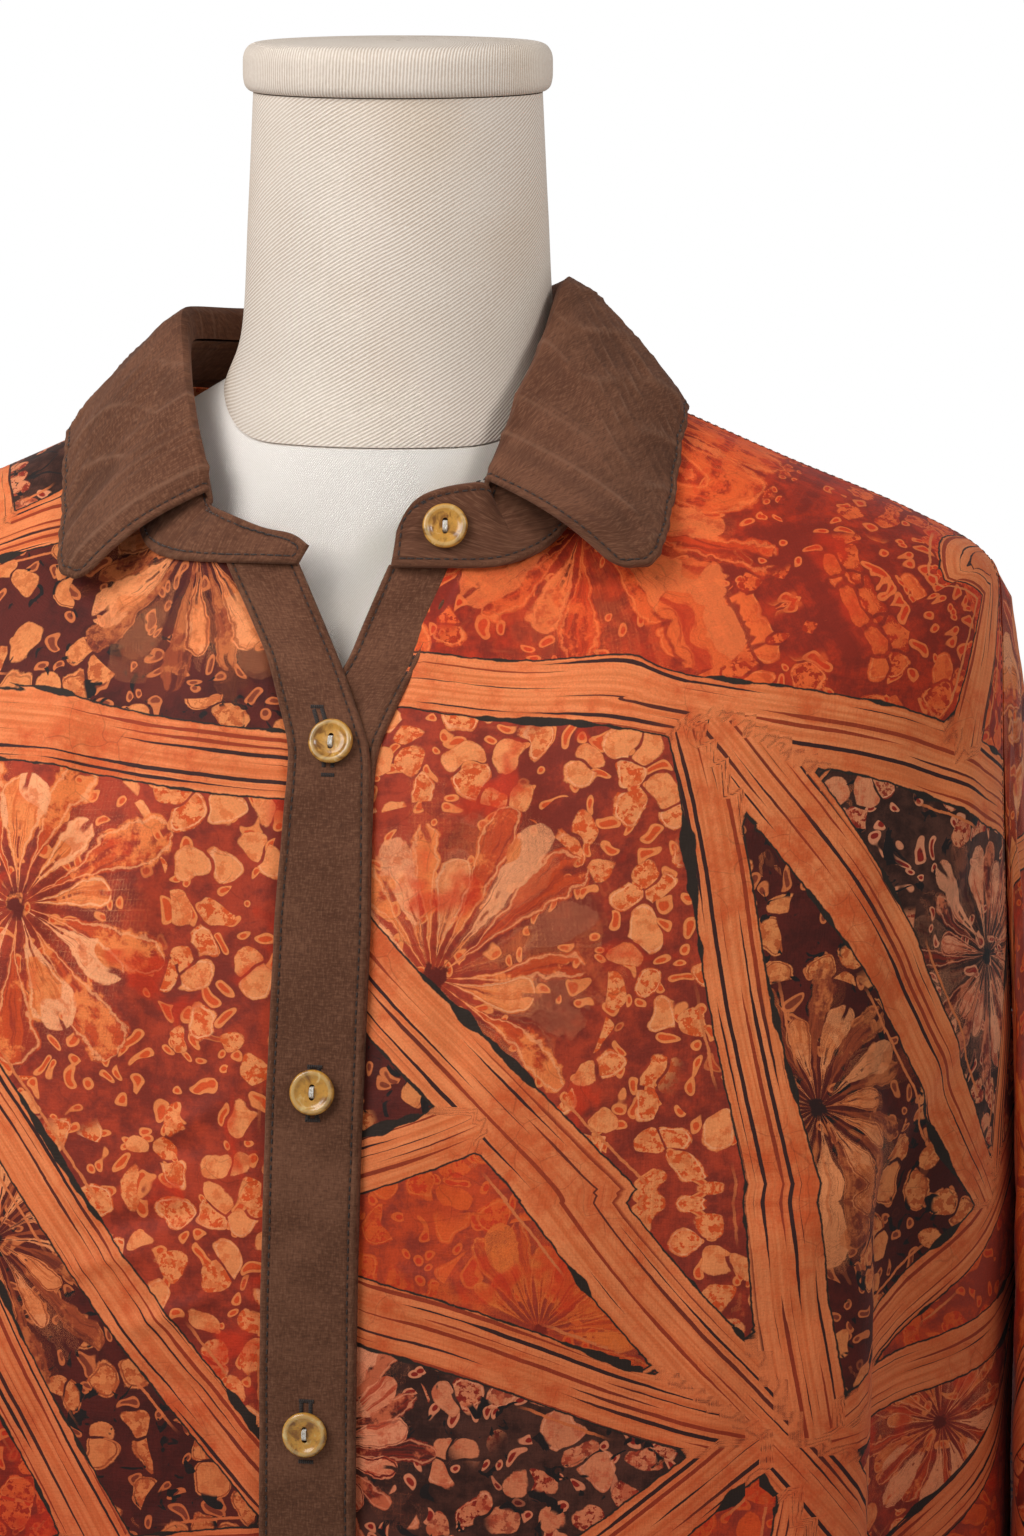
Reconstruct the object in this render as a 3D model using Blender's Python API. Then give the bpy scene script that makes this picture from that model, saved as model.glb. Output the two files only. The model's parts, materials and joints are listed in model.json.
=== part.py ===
"""A long-sleeved batik shirt, buttoned down the front, on a limbless dress form with a table stand.

Metres, +Z up. The origin lies under the middle of the stand's base, the front faces -Y, and the wearer's
left is +X. The cloth hangs as walls through rings. A ring is a rounded oval round the upright axis, given
by one row of a table, and a point of the cloth is named by its turn round the axis (0 at the centre
front, 90 degrees at the wearer's left, 180 at the centre back) and its level, counted in table rows.
"""

import math

import bmesh
import bpy
import numpy as np
from mathutils import Matrix, Vector

# ------------------------------------------------------------------ driving sizes

GAP = 0.0003  # between pieces that are sewn together or rest on each other
CLOTH = 0.0012  # wall of the printed cloth
BAND = 0.0016  # wall of the folded brown bands: collar, stand and placket

PLACKET_WIDTHS = ((0.150, 0.0305), (0.700, 0.0300), (0.755, 0.0256), (0.780, 0.0230), (0.810, 0.0242))
OPENING_START = 0.7530  # above this height the fronts part into the open neck
OPENING_RIGHT = 0.46  # how far the wearer's right front's centre line goes aside for its rise
OPENING_LEFT = 0.50
OPENING_EASE = 0.006  # the rise over which the parting begins
FIRST_BUTTON = 0.7545  # height of the highest placket button
BUTTON_PITCH = 0.104
PLACKET_BUTTONS = 6
BUTTON_RADIUS = 0.0070
BUTTON_THICK = 0.0026
STAND_BUTTON_COLUMN = 4  # the stand's button sits this many rows of TAB_LEFT from the tab's end

SIDE = math.radians(94)  # shoulder seam, armhole and side seam, just behind the middle of the side
ARMHOLE_HALF = math.radians(9)  # half the armhole's width, as a turn

BASE_RADIUS = 0.150
BASE_THICK = 0.012
POST_RADIUS = 0.0125
FLANGE_RADIUS = 0.034
FLANGE_THICK = 0.006
NECK_TOP = 0.950  # seam between the neck and its cap
CAP_THICK = 0.016

# Rings of the hanging shirt. Height is taken at the sides; front and back are depths from the axis;
# square 2 is an oval and more is boxier; the drops lower a ring at the centre front and back.
RING_COLUMNS = (
    "height", "half_width", "front", "back", "front_square", "back_square", "front_drop", "back_drop", "shift"
)
SHIRT_RINGS = (
    ("hem", 0.150, 0.1980, 0.1430, 0.1240, 2.5, 2.4, 0.000, 0.000, 0.000),
    ("seat", 0.250, 0.1975, 0.1415, 0.1220, 2.5, 2.4, 0.000, 0.000, 0.000),
    ("hip", 0.360, 0.1970, 0.1395, 0.1180, 2.5, 2.4, 0.000, 0.000, 0.000),
    ("waist", 0.460, 0.1975, 0.1365, 0.1110, 2.5, 2.4, 0.000, 0.000, 0.000),
    ("bust", 0.560, 0.1990, 0.1330, 0.1040, 2.6, 2.4, 0.000, 0.000, 0.000),
    ("underarm", 0.620, 0.2010, 0.1270, 0.1015, 2.7, 2.5, 0.000, 0.000, 0.000),
    ("chest", 0.695, 0.1985, 0.1140, 0.0975, 2.8, 2.5, 0.009, 0.006, 0.000),
    ("blade", 0.750, 0.1965, 0.1035, 0.0930, 2.6, 2.4, 0.021, 0.016, 0.000),
    ("shoulder_low", 0.785, 0.1940, 0.0955, 0.0885, 2.5, 2.3, 0.033, 0.022, 0.000),
    ("shoulder_end", 0.8045, 0.1885, 0.0895, 0.0855, 2.4, 2.2, 0.039, 0.026, 0.000),
    ("shoulder_outer", 0.8185, 0.1640, 0.0840, 0.0810, 2.4, 2.2, 0.042, 0.024, 0.000),
    ("shoulder_middle", 0.8345, 0.1250, 0.0790, 0.0740, 2.6, 2.2, 0.0475, 0.0185, -0.001),
    ("shoulder_neck", 0.8500, 0.0890, 0.0750, 0.0655, 3.2, 2.2, 0.0530, 0.0135, -0.002),
    ("neckline", 0.8570, 0.0715, 0.0715, 0.0590, 4.2, 2.2, 0.0495, 0.007, -0.003),
)

# Rings of the dress form's torso, in the same columns. Its shoulders carry the shirt.
FORM_RINGS = (
    ("bottom", 0.190, 0.1500, 0.0950, 0.1020, 2.2, 2.2, 0.000, 0.000, 0.000),
    ("hip", 0.260, 0.1640, 0.1060, 0.1080, 2.2, 2.2, 0.000, 0.000, 0.000),
    ("belly", 0.350, 0.1560, 0.1060, 0.0980, 2.2, 2.2, 0.000, 0.000, 0.000),
    ("waist", 0.450, 0.1260, 0.0950, 0.0780, 2.1, 2.1, 0.000, 0.000, 0.000),
    ("ribs", 0.540, 0.1400, 0.1140, 0.0850, 2.2, 2.2, 0.000, 0.000, 0.000),
    ("bust", 0.605, 0.1580, 0.1225, 0.0920, 2.3, 2.2, 0.000, 0.000, 0.000),
    ("chest", 0.690, 0.1660, 0.1045, 0.0925, 2.3, 2.2, 0.008, 0.004, 0.000),
    ("blade", 0.755, 0.1740, 0.0920, 0.0860, 2.3, 2.2, 0.020, 0.013, 0.000),
    ("shoulder_end", 0.8000, 0.1760, 0.0830, 0.0815, 2.1, 2.1, 0.032, 0.022, 0.000),
    ("shoulder_outer", 0.8145, 0.1550, 0.0755, 0.0755, 2.0, 2.0, 0.037, 0.022, 0.000),
    ("shoulder_middle", 0.8300, 0.1180, 0.0690, 0.0690, 2.0, 2.0, 0.044, 0.0175, 0.000),
    ("shoulder_neck", 0.8440, 0.0810, 0.0600, 0.0560, 2.0, 2.0, 0.040, 0.008, 0.000),
    ("neck_root", 0.8580, 0.0560, 0.0570, 0.0530, 2.0, 2.0, 0.0165, -0.008, 0.000),
)
NECK_RINGS = (
    ("root", 0.8587, 0.0558, 0.0568, 0.0528, 2.0, 2.0, 0.0165, -0.008, 0.000),
    ("hollow", 0.8760, 0.0500, 0.0510, 0.0490, 2.0, 2.0, 0.009, -0.004, 0.000),
    ("column", 0.9120, 0.0478, 0.0480, 0.0475, 2.0, 2.0, 0.000, 0.000, 0.000),
    ("top", NECK_TOP - GAP, 0.0460, 0.0460, 0.0460, 2.0, 2.0, 0.000, 0.000, 0.000),
)

# The shirt has slipped a little on its wearer's right shoulder: how much, and between which distances
# from the middle plane this comes in and goes out again.
SLIP = 0.0060
SLIP_IN = (0.045, 0.085)
SLIP_OUT = (0.150, 0.185)

# The largest folds of the hanging body: where they start and are full, their turn at the top and at the
# hem in degrees, half their width, and how far they stand out (a trough is negative).
FOLD_COLUMNS = ("start", "full", "turn_top", "turn_hem", "width", "rise")
FOLDS = (
    (0.690, 0.590, 57, 54, 0.018, 0.0100),
    (0.690, 0.590, 68, 65, 0.016, -0.0120),
    (0.620, 0.480, 80, 78, 0.016, 0.0040),
    (0.560, 0.350, 28, 24, 0.030, 0.0045),
    (0.480, 0.250, 39, 37, 0.020, -0.0060),
    (0.680, 0.560, -58, -53, 0.020, 0.0075),
    (0.680, 0.560, -70, -67, 0.018, -0.0090),
    (0.540, 0.330, -33, -30, 0.028, 0.0045),
    (0.480, 0.260, -44, -41, 0.020, -0.0055),
    (0.640, 0.420, 113, 116, 0.022, 0.0060),
    (0.660, 0.450, 128, 131, 0.020, -0.0060),
    (0.660, 0.420, 146, 146, 0.026, 0.0070),
    (0.600, 0.400, 163, 162, 0.022, -0.0055),
    (0.620, 0.380, 181, 180, 0.026, 0.0060),
    (0.640, 0.420, 198, 199, 0.022, -0.0060),
    (0.680, 0.430, 217, 215, 0.026, 0.0075),
    (0.640, 0.420, 234, 232, 0.020, -0.0055),
    (0.620, 0.400, 249, 247, 0.020, 0.0055),
)
DROP_FULL = 0.85  # cosine of the turn from which a ring's drop is whole
FOLD_ARC = 0.165  # metres of cloth for one radian of turn
LAP_START = 0.015  # from the centre, the wearer's left front lies one band lower up to here
LAP_REACH = 0.050  # and comes level over this distance

# The wearer's left sleeve from armhole to cuff: the edge on the outside, the edge against the body, and
# how far it reaches to the front and back. The right one is its mirror image.
SLEEVE_COLUMNS = ("outer_x", "outer_z", "inner_x", "inner_z", "front_y", "back_y")
SLEEVE_RINGS = (
    (0.1960, 0.791, 0.2040, 0.608, -0.0175, 0.052),
    (0.1985, 0.769, 0.2042, 0.600, -0.019, 0.058),
    (0.2010, 0.740, 0.2040, 0.591, -0.021, 0.065),
    (0.2045, 0.700, 0.2036, 0.580, -0.026, 0.074),
    (0.2100, 0.650, 0.2036, 0.562, -0.033, 0.084),
    (0.2155, 0.595, 0.2036, 0.536, -0.039, 0.091),
    (0.2200, 0.535, 0.2036, 0.499, -0.043, 0.093),
    (0.2235, 0.470, 0.2040, 0.452, -0.044, 0.089),
    (0.2260, 0.405, 0.2050, 0.395, -0.043, 0.082),
    (0.2275, 0.340, 0.2070, 0.333, -0.041, 0.075),
    (0.2280, 0.290, 0.2090, 0.285, -0.040, 0.070),
)
SLEEVE_INSET = 0.985  # the sleeve's seam as a part of the armhole
SLEEVE_WRAP = 2.0  # how the sleeve's back part turns in round the body, per metre squared

# The collar from centre back to the front, on each side: the turn of its seam on the neckline, the top
# of the fold, and where the outer edge of the fall lies over the shirt.
COLLAR_COLUMNS = ("seam_turn", "fold_x", "fold_y", "fold_z", "edge_x", "edge_y")
COLLAR_LEFT = (
    (180, -0.0080, 0.0610, 0.8736, -0.0080, 0.0700),
    (150, 0.0230, 0.0560, 0.8770, 0.0330, 0.0650),
    (120, 0.0440, 0.0330, 0.8850, 0.0680, 0.0420),
    (90, 0.0545, 0.0020, 0.8900, 0.0905, 0.0030),
    (68, 0.0535, -0.0230, 0.8760, 0.0950, -0.0230),
    (54, 0.0490, -0.0440, 0.8570, 0.0962, -0.0430),
    (47, 0.0455, -0.0540, 0.8440, 0.0955, -0.0560),
    (41, 0.0426, -0.0620, 0.8330, 0.0870, -0.0668),
)
COLLAR_RIGHT = (
    (-180, -0.0080, 0.0610, 0.8736, -0.0080, 0.0700),
    (-150, -0.0390, 0.0560, 0.8735, -0.0480, 0.0650),
    (-120, -0.0610, 0.0340, 0.8755, -0.0840, 0.0430),
    (-90, -0.0705, 0.0020, 0.8783, -0.1060, 0.0030),
    (-68, -0.0660, -0.0200, 0.8660, -0.1030, -0.0230),
    (-54, -0.0590, -0.0390, 0.8500, -0.0985, -0.0430),
    (-47, -0.0540, -0.0490, 0.8390, -0.0940, -0.0585),
    (-41, -0.0500, -0.0560, 0.8268, -0.0866, -0.0700),
)
# The stand's front tabs past the fall, on each side: seam turn and upper edge.
TAB_COLUMNS = ("seam_turn", "top_x", "top_y", "top_z")
TAB_LEFT = (
    (34, 0.0390, -0.0640, 0.8330),
    (26, 0.0292, -0.0660, 0.8315),
    (19, 0.0215, -0.0674, 0.8283),
    (15, 0.0172, -0.0690, 0.8229),
    (13, 0.0152, -0.0706, 0.8162),
)
TAB_RIGHT = (
    (-33, -0.0395, -0.0645, 0.8212),
    (-24, -0.0275, -0.0672, 0.8172),
    (-16, -0.0180, -0.0702, 0.8134),
    (-12, -0.0130, -0.0724, 0.8094),
)
SEAM_LAP = 0.0012  # how far the stand reaches down over the neckline
STAND_BELOW_FOLD = 0.009  # the stand's upper seam lies this far under the fold at the back
STAND_AT_ENDS = 0.45  # and this part of it at the collar's front ends
STAND_CLEAR = 0.0022  # below the fall's start, so that the leaning wall's top edge is clear of it
STAND_LIFT = 0.0026  # from the shirt's inner face to the stand, over the thickest wall
FALL_LIFT = 0.0016  # from the shirt's outer face to the fall's outer edge
FALL_BULGE = 0.0022  # how far the fall stands out half way between its fold and its edge

# ------------------------------------------------------------------ steps of the meshes

BODY_ROWS = 7  # between hem and underarm
ARMHOLE_ROWS = 9
SHOULDER_ROWS = 7  # between shoulder end and neckline
SHOULDER_SPREAD = 1.4  # above 1 the shoulder's rows are closer at its end
FRONT_COLUMNS = 16
BACK_COLUMNS = 28
PLACKET_COLUMNS = 4
COLLAR_COLUMNS = 34
STAND_SETTLES = 8  # columns from a front end to where the stand's seam lies lowest
FALL_PARTS = (0.06, 0.30, 0.65, 1.0)  # from the fold to the fall's outer edge
STAND_PARTS = (0.0, 0.35, 0.7, 1.0)
FORM_ROWS = 22
FORM_SIDES = 30
NECK_ROWS = 7
BASE_SIDES = 60
POST_SIDES = 24
CAP_SIDES = 36
BUTTON_SIDES = 18


# ------------------------------------------------------------------ surfaces


def smooth(part):
    """Eases from 0 to 1 as part goes from 0 to 1."""
    part = np.clip(part, 0.0, 1.0)
    return part * part * (3 - 2 * part)


def smooth_rows(values, level):
    """Reads a table of numbers at any level between its rows, without overshooting them."""
    steps = np.diff(values, axis=0)
    before, after = steps[:-1], steps[1:]
    least = np.minimum(np.abs(before), np.abs(after))
    mean = np.abs(before + after) / 2
    slopes = np.where(before * after > 0, np.sign(before) * np.minimum(mean, 3 * least), 0.0)
    slopes = np.vstack([steps[:1], slopes, steps[-1:]])
    level = np.asarray(level, float)
    row = np.clip(np.floor(level).astype(int), 0, len(values) - 2)
    part = (level - row)[..., None]
    start, end = values[row], values[row + 1]
    ease = part * part * (3 - 2 * part)
    bend = slopes[row] * part * (1 - part) ** 2 - slopes[row + 1] * part * part * (1 - part)
    return start + (end - start) * ease + bend


class Rings:
    """A tall body through the rings of a table."""

    def __init__(self, table):
        self.names = [row[0] for row in table]
        self.values = np.array([row[1:] for row in table])

    def level(self, name):
        return float(self.names.index(name))

    @property
    def top(self):
        return len(self.names) - 1.0

    def point(self, turn, level):
        turn, level = np.broadcast_arrays(np.asarray(turn, float), np.asarray(level, float))
        row = smooth_rows(self.values, level)
        height, half_width, front, back, front_square, back_square = np.moveaxis(row[..., :6], -1, 0)
        front_drop, back_drop, shift = np.moveaxis(row[..., 6:], -1, 0)
        across, along = np.sin(turn), np.cos(turn)
        depth = np.where(along > 0, front, back)
        square = np.where(along > 0, front_square, back_square)
        radius = (np.abs(across / half_width) ** square + np.abs(along / depth) ** square) ** (-1 / square)
        drop = np.where(along > 0, front_drop, back_drop) * smooth(np.abs(along) / DROP_FULL)
        return np.stack([shift + radius * across, -radius * along, height - drop], -1)

    def normal(self, turn, level):
        small = 1e-3
        turn, level = np.broadcast_arrays(np.asarray(turn, float), np.asarray(level, float))
        around = self.point(turn + small, level) - self.point(turn - small, level)
        upward = self.point(turn, level + small) - self.point(turn, level - small)
        out = np.cross(around, upward)
        return out / np.linalg.norm(out, axis=-1, keepdims=True)

    def level_at_height(self, height, turn=0.0):
        levels = np.linspace(0, self.top, 400)
        return np.interp(height, self.point(turn, levels)[:, 2], levels)


SHIRT = Rings(SHIRT_RINGS)
FORM = Rings(FORM_RINGS)
NECK = Rings(NECK_RINGS)
UNDERARM = SHIRT.level("underarm")
SHOULDER_END = SHIRT.level("shoulder_end")
ARMHOLE_MIDDLE = float(SHIRT.point(SIDE, [UNDERARM, SHOULDER_END])[:, 2].mean())
ARMHOLE_TALL = float(np.ptp(SHIRT.point(SIDE, [UNDERARM, SHOULDER_END])[:, 2])) / 2


def fold_height(turn, height):
    """How far the folds of the hanging cloth stand out."""
    total = np.zeros(np.broadcast(turn, height).shape)
    for start, full, turn_top, turn_hem, width, rise in FOLDS:
        down = np.clip((start - height) / (start - SHIRT_RINGS[0][1]), 0, 1)
        centre = np.radians(turn_top + (turn_hem - turn_top) * down)
        away = (turn - centre + math.pi) % (2 * math.pi) - math.pi
        total += rise * np.exp(-((away * FOLD_ARC / width) ** 2)) * smooth((start - height) / (start - full))
    return total


def slip(x, level):
    """How much lower the cloth lies on the wearer's right shoulder."""
    come = smooth((-x - SLIP_IN[0]) / (SLIP_IN[1] - SLIP_IN[0]))
    leave = 1 - smooth((-x - SLIP_OUT[0]) / (SLIP_OUT[1] - SLIP_OUT[0]))
    return SLIP * come * leave * smooth((level - UNDERARM) / (SHOULDER_END - UNDERARM))


def shirt_point(turn, level, lift=0.0):
    """A point of the shirt's inner face, with its folds, moved out by lift."""
    base = SHIRT.point(turn, level)
    out = fold_height(turn, base[..., 2]) + lift
    point = base + SHIRT.normal(turn, level) * out[..., None]
    point[..., 2] -= slip(base[..., 0], level)
    return point


def armhole_edge(level, side):
    """The armhole's front (side -1) or back (side 1) turn at a level; the side seam's beyond its ends."""
    height = SHIRT.point(SIDE, level)[..., 2]
    reach = np.sqrt(np.clip(1 - ((height - ARMHOLE_MIDDLE) / ARMHOLE_TALL) ** 2, 0, 1))
    return SIDE + side * ARMHOLE_HALF * reach


def body_levels():
    """The levels of the rows that every panel of the body shares, from hem to neckline."""
    low = np.linspace(0, UNDERARM, BODY_ROWS + 1)
    angles = np.linspace(0, math.pi, ARMHOLE_ROWS + 1)
    beside = SHIRT.level_at_height(ARMHOLE_MIDDLE - ARMHOLE_TALL * np.cos(angles), SIDE)
    high = SHOULDER_END + (SHIRT.top - SHOULDER_END) * np.linspace(0, 1, SHOULDER_ROWS + 1) ** SHOULDER_SPREAD
    return np.concatenate([low, beside[1:-1], high])


def turn_beside_front(distance, level):
    """The turn of a point that lies this far to the wearer's left of the centre front."""
    return np.arctan2(distance, SHIRT.point(0.0, level)[..., 1] * -1)


def front_line(level, side):
    """How far each front's centre line lies aside: the neck is open above the first button."""
    rise = SHIRT.point(0.0, level)[..., 2] - OPENING_START
    eased = (rise + np.sqrt(rise * rise + OPENING_EASE**2)) / 2 - OPENING_EASE**2 / 4 / np.abs(rise).max()
    return np.clip(eased, 0, None) * (OPENING_LEFT if side > 0 else -OPENING_RIGHT)


def placket_edge(level):
    """Half the placket's width."""
    heights, widths = np.array(PLACKET_WIDTHS).T
    return np.interp(SHIRT.point(0.0, level)[..., 2], heights, widths) / 2


def under_lap(turn, level):
    """The wearer's left front lies under the right one near the centre, and comes level beside it."""
    beside = np.abs(turn) * FOLD_ARC
    return -(BAND + GAP) * (1 - smooth((beside - LAP_START) / LAP_REACH))


# ------------------------------------------------------------------ meshes


def pull_back(points, edges, amount=GAP / 2):
    """Draws the named edges of a grid of points back from their seams."""
    grid = points.copy()
    for edge in edges:
        here, inside = {
            "low": (grid[0], points[1]),
            "high": (grid[-1], points[-2]),
            "first": (grid[:, 0], points[:, 1]),
            "last": (grid[:, -1], points[:, -2]),
        }[edge]
        along = inside - here
        here += along / np.linalg.norm(along, axis=-1, keepdims=True) * amount
    return grid


def grid_normals(points, closed=False):
    """Normals of a grid of points, of which the columns may close into a ring."""
    if closed:
        around = np.roll(points, -1, axis=1) - np.roll(points, 1, axis=1)
    else:
        around = np.gradient(points, axis=1)
    out = np.cross(around, np.gradient(points, axis=0))
    return out / np.linalg.norm(out, axis=-1, keepdims=True)


def wall(name, inner, outer, material, closed=False):
    """One closed wall between two matching grids of points, of triangles split the shorter way."""
    rows, columns = inner.shape[:2]
    mesh = bmesh.new()
    layers = [[[mesh.verts.new(point) for point in row] for row in grid] for grid in (inner, outer)]
    spans = columns if closed else columns - 1

    def strip(line_a, line_b):
        for index in range(len(line_a) - 1):
            a, b, c, d = line_a[index], line_a[index + 1], line_b[index + 1], line_b[index]
            if (a.co - c.co).length > (b.co - d.co).length:
                a, b, c, d = b, c, d, a
            mesh.faces.new((a, b, c))
            mesh.faces.new((a, c, d))

    for layer in layers:
        for row in range(rows - 1):
            lower, upper = layer[row], layer[row + 1]
            strip((lower + lower[:1])[: spans + 1], (upper + upper[:1])[: spans + 1])
    inside, outside = layers
    for row in (0, rows - 1):
        line_in, line_out = inside[row], outside[row]
        strip((line_in + line_in[:1])[: spans + 1], (line_out + line_out[:1])[: spans + 1])
    if not closed:
        for column in (0, columns - 1):
            strip([row[column] for row in inside], [row[column] for row in outside])
    return add_object(name, mesh, material)


def lathe(name, rings, material):
    """One closed solid through rings of points, with a flat face across each end."""
    mesh = bmesh.new()
    loops = [[mesh.verts.new(point) for point in ring] for ring in rings]
    for lower, upper in zip(loops, loops[1:]):
        for index in range(len(lower)):
            after = (index + 1) % len(lower)
            mesh.faces.new((lower[index], lower[after], upper[after], upper[index]))
    for loop, ring in ((loops[0], rings[0]), (loops[-1], rings[-1])):
        middle = mesh.verts.new(np.mean(ring, axis=0))
        for index in range(len(loop)):
            mesh.faces.new((loop[index], loop[(index + 1) % len(loop)], middle))
    return add_object(name, mesh, material)


def add_object(name, mesh, material):
    bmesh.ops.recalc_face_normals(mesh, faces=mesh.faces)
    data = bpy.data.meshes.new(name)
    mesh.to_mesh(data)
    mesh.free()
    data.shade_smooth()
    data.set_sharp_from_angle(angle=math.radians(40))
    data.materials.append(material)
    made = bpy.data.objects.new(name, data)
    bpy.context.scene.collection.objects.link(made)
    return made


def circle_rings(profile, sides):
    """Rings of points from a turned profile of radius and height pairs."""
    turns = np.linspace(0, 2 * math.pi, sides, endpoint=False)
    return [[(r * math.cos(t), r * math.sin(t), z) for t in turns] for r, z in profile]


def make_material(name, colour, roughness, metallic=0.0):
    material = bpy.data.materials.new(name)
    material.use_nodes = True
    shader = material.node_tree.nodes["Principled BSDF"]
    shader.inputs["Base Color"].default_value = (*colour, 1.0)
    shader.inputs["Roughness"].default_value = roughness
    shader.inputs["Metallic"].default_value = metallic
    return material


# ------------------------------------------------------------------ the dress form


def build_form(linen, steel):
    turns = np.linspace(0, 2 * math.pi, FORM_SIDES, endpoint=False)
    torso = [FORM.point(turns, level) for level in np.linspace(0, FORM.top, FORM_ROWS + 1)]
    bottom = torso[0] * (0.93, 0.93, 1.0) - (0.0, 0.0, 0.006)
    lathe("form_torso", [bottom, *torso], linen)
    neck = [NECK.point(turns, level) for level in np.linspace(0, NECK.top, NECK_ROWS + 1)]
    lathe("form_neck", neck, linen)
    cap_radius = 0.0492
    cap = [
        (cap_radius - 0.004, NECK_TOP),
        (cap_radius - 0.001, NECK_TOP + 0.0015),
        (cap_radius, NECK_TOP + 0.005),
        (cap_radius, NECK_TOP + 0.010),
        (cap_radius - 0.0015, NECK_TOP + 0.0135),
        (cap_radius - 0.005, NECK_TOP + CAP_THICK - 0.0005),
        (cap_radius - 0.012, NECK_TOP + CAP_THICK),
    ]
    lathe("neck_cap", circle_rings(cap, CAP_SIDES), linen)
    base = [
        (BASE_RADIUS - 0.001, 0.0),
        (BASE_RADIUS, 0.001),
        (BASE_RADIUS, BASE_THICK - 0.004),
        (BASE_RADIUS - 0.003, BASE_THICK - 0.001),
        (BASE_RADIUS - 0.008, BASE_THICK),
    ]
    lathe("stand_base", circle_rings(base, BASE_SIDES), steel)
    torso_bottom = FORM_RINGS[0][1] - 0.006
    post = [
        (FLANGE_RADIUS, BASE_THICK + GAP),
        (FLANGE_RADIUS, BASE_THICK + FLANGE_THICK),
        (POST_RADIUS, BASE_THICK + FLANGE_THICK + 0.002),
        (POST_RADIUS, torso_bottom - FLANGE_THICK - 0.002),
        (FLANGE_RADIUS, torso_bottom - FLANGE_THICK),
        (FLANGE_RADIUS, torso_bottom - GAP),
    ]
    lathe("stand_post", circle_rings(post, POST_SIDES), steel)


# ------------------------------------------------------------------ the body of the shirt


def build_front(name, side, batik):
    """A front, from its placket seam to the shoulder seam, armhole and side seam."""
    levels = body_levels()
    outer_turn = armhole_edge(levels, -1)
    seam = np.abs(front_line(levels, side)) + placket_edge(levels)
    inner_turn = turn_beside_front(seam, levels)
    share = np.linspace(0, 1, FRONT_COLUMNS + 1)
    turns = side * (inner_turn[:, None] + (outer_turn - inner_turn)[:, None] * share)
    lap = under_lap(turns, levels[:, None]) if side > 0 else np.zeros(turns.shape)
    inner = shirt_point(turns, levels[:, None], lap)
    outer = shirt_point(turns, levels[:, None], lap + CLOTH)
    edges = ("high", "first", "last")
    wall(name, pull_back(inner, edges), pull_back(outer, edges), batik)


def build_back(batik):
    levels = body_levels()
    edge = armhole_edge(levels, 1)
    share = np.linspace(0, 1, BACK_COLUMNS + 1)
    turns = edge[:, None] + (2 * math.pi - 2 * edge)[:, None] * share
    inner = shirt_point(turns, levels[:, None])
    outer = shirt_point(turns, levels[:, None], np.full(turns.shape, CLOTH))
    edges = ("high", "first", "last")
    wall("back", pull_back(inner, edges), pull_back(outer, edges), batik)


def placket_grid(side, lift):
    levels = body_levels()
    across = placket_edge(levels)[:, None] * np.linspace(-1, 1, PLACKET_COLUMNS + 1)
    aside = front_line(levels, side)[:, None] + across
    turns = turn_beside_front(aside, levels[:, None])
    return shirt_point(turns, levels[:, None], np.full(turns.shape, lift))


def build_plackets(brown):
    edges = ("high", "first", "last")
    for name, side, lift in (("placket_top", -1, 0.0), ("placket_under", 1, -(BAND + GAP))):
        inner = pull_back(placket_grid(side, lift), edges)
        outer = pull_back(placket_grid(side, lift + BAND), edges)
        wall(name, inner, outer, brown)


# ------------------------------------------------------------------ the sleeves


def armhole_ring(angles):
    """The armhole's edge on the outside of the body: 0 at the shoulder, 90 degrees at the front."""
    heights = ARMHOLE_MIDDLE + ARMHOLE_TALL * SLEEVE_INSET * np.cos(angles)
    levels = SHIRT.level_at_height(heights, SIDE)
    turns = SIDE - ARMHOLE_HALF * SLEEVE_INSET * np.sin(angles)
    return shirt_point(turns, levels, np.full(angles.shape, CLOTH + GAP))


def sleeve_ring(row, angles):
    outer_x, outer_z, inner_x, inner_z, front_y, back_y = row
    centre = np.array([(outer_x + inner_x) / 2, (front_y + back_y) / 2, (outer_z + inner_z) / 2])
    outward = np.array([(outer_x - inner_x) / 2, 0.0, (outer_z - inner_z) / 2])
    forward = np.array([0.0, (front_y - back_y) / 2, 0.0])
    up = np.sign(np.cos(angles)) * np.abs(np.cos(angles)) ** 0.85
    ahead = np.sign(np.sin(angles)) * np.abs(np.sin(angles)) ** 0.95
    ring = centre + up[:, None] * outward + ahead[:, None] * forward
    ring[:, 0] -= SLEEVE_WRAP * np.clip(ring[:, 1], 0, None) ** 2
    return ring


def build_sleeve(name, side, batik):
    angles = np.linspace(0, 2 * math.pi, 2 * ARMHOLE_ROWS, endpoint=False)
    rings = [armhole_ring(angles)] + [sleeve_ring(row, angles) for row in SLEEVE_RINGS]
    outer = np.array(rings)
    inner = outer - grid_normals(outer, closed=True) * CLOTH
    mirror = (side, 1.0, 1.0)
    wall(name, inner * mirror, outer * mirror, batik, closed=True)


# ------------------------------------------------------------------ the collar


def seam_point(turn, lift):
    """A point over the neckline's edge; the wearer's left front lies lower near the centre."""
    row = SHIRT.point(turn, SHIRT.top - 1.0) - SHIRT.point(turn, SHIRT.top)
    level = SHIRT.top - SEAM_LAP / np.linalg.norm(row, axis=-1)
    lap = np.where(np.sin(turn) > 0, under_lap(turn, level), 0.0) * (np.cos(turn) > 0)
    return shirt_point(turn, level, lap + lift)


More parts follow.
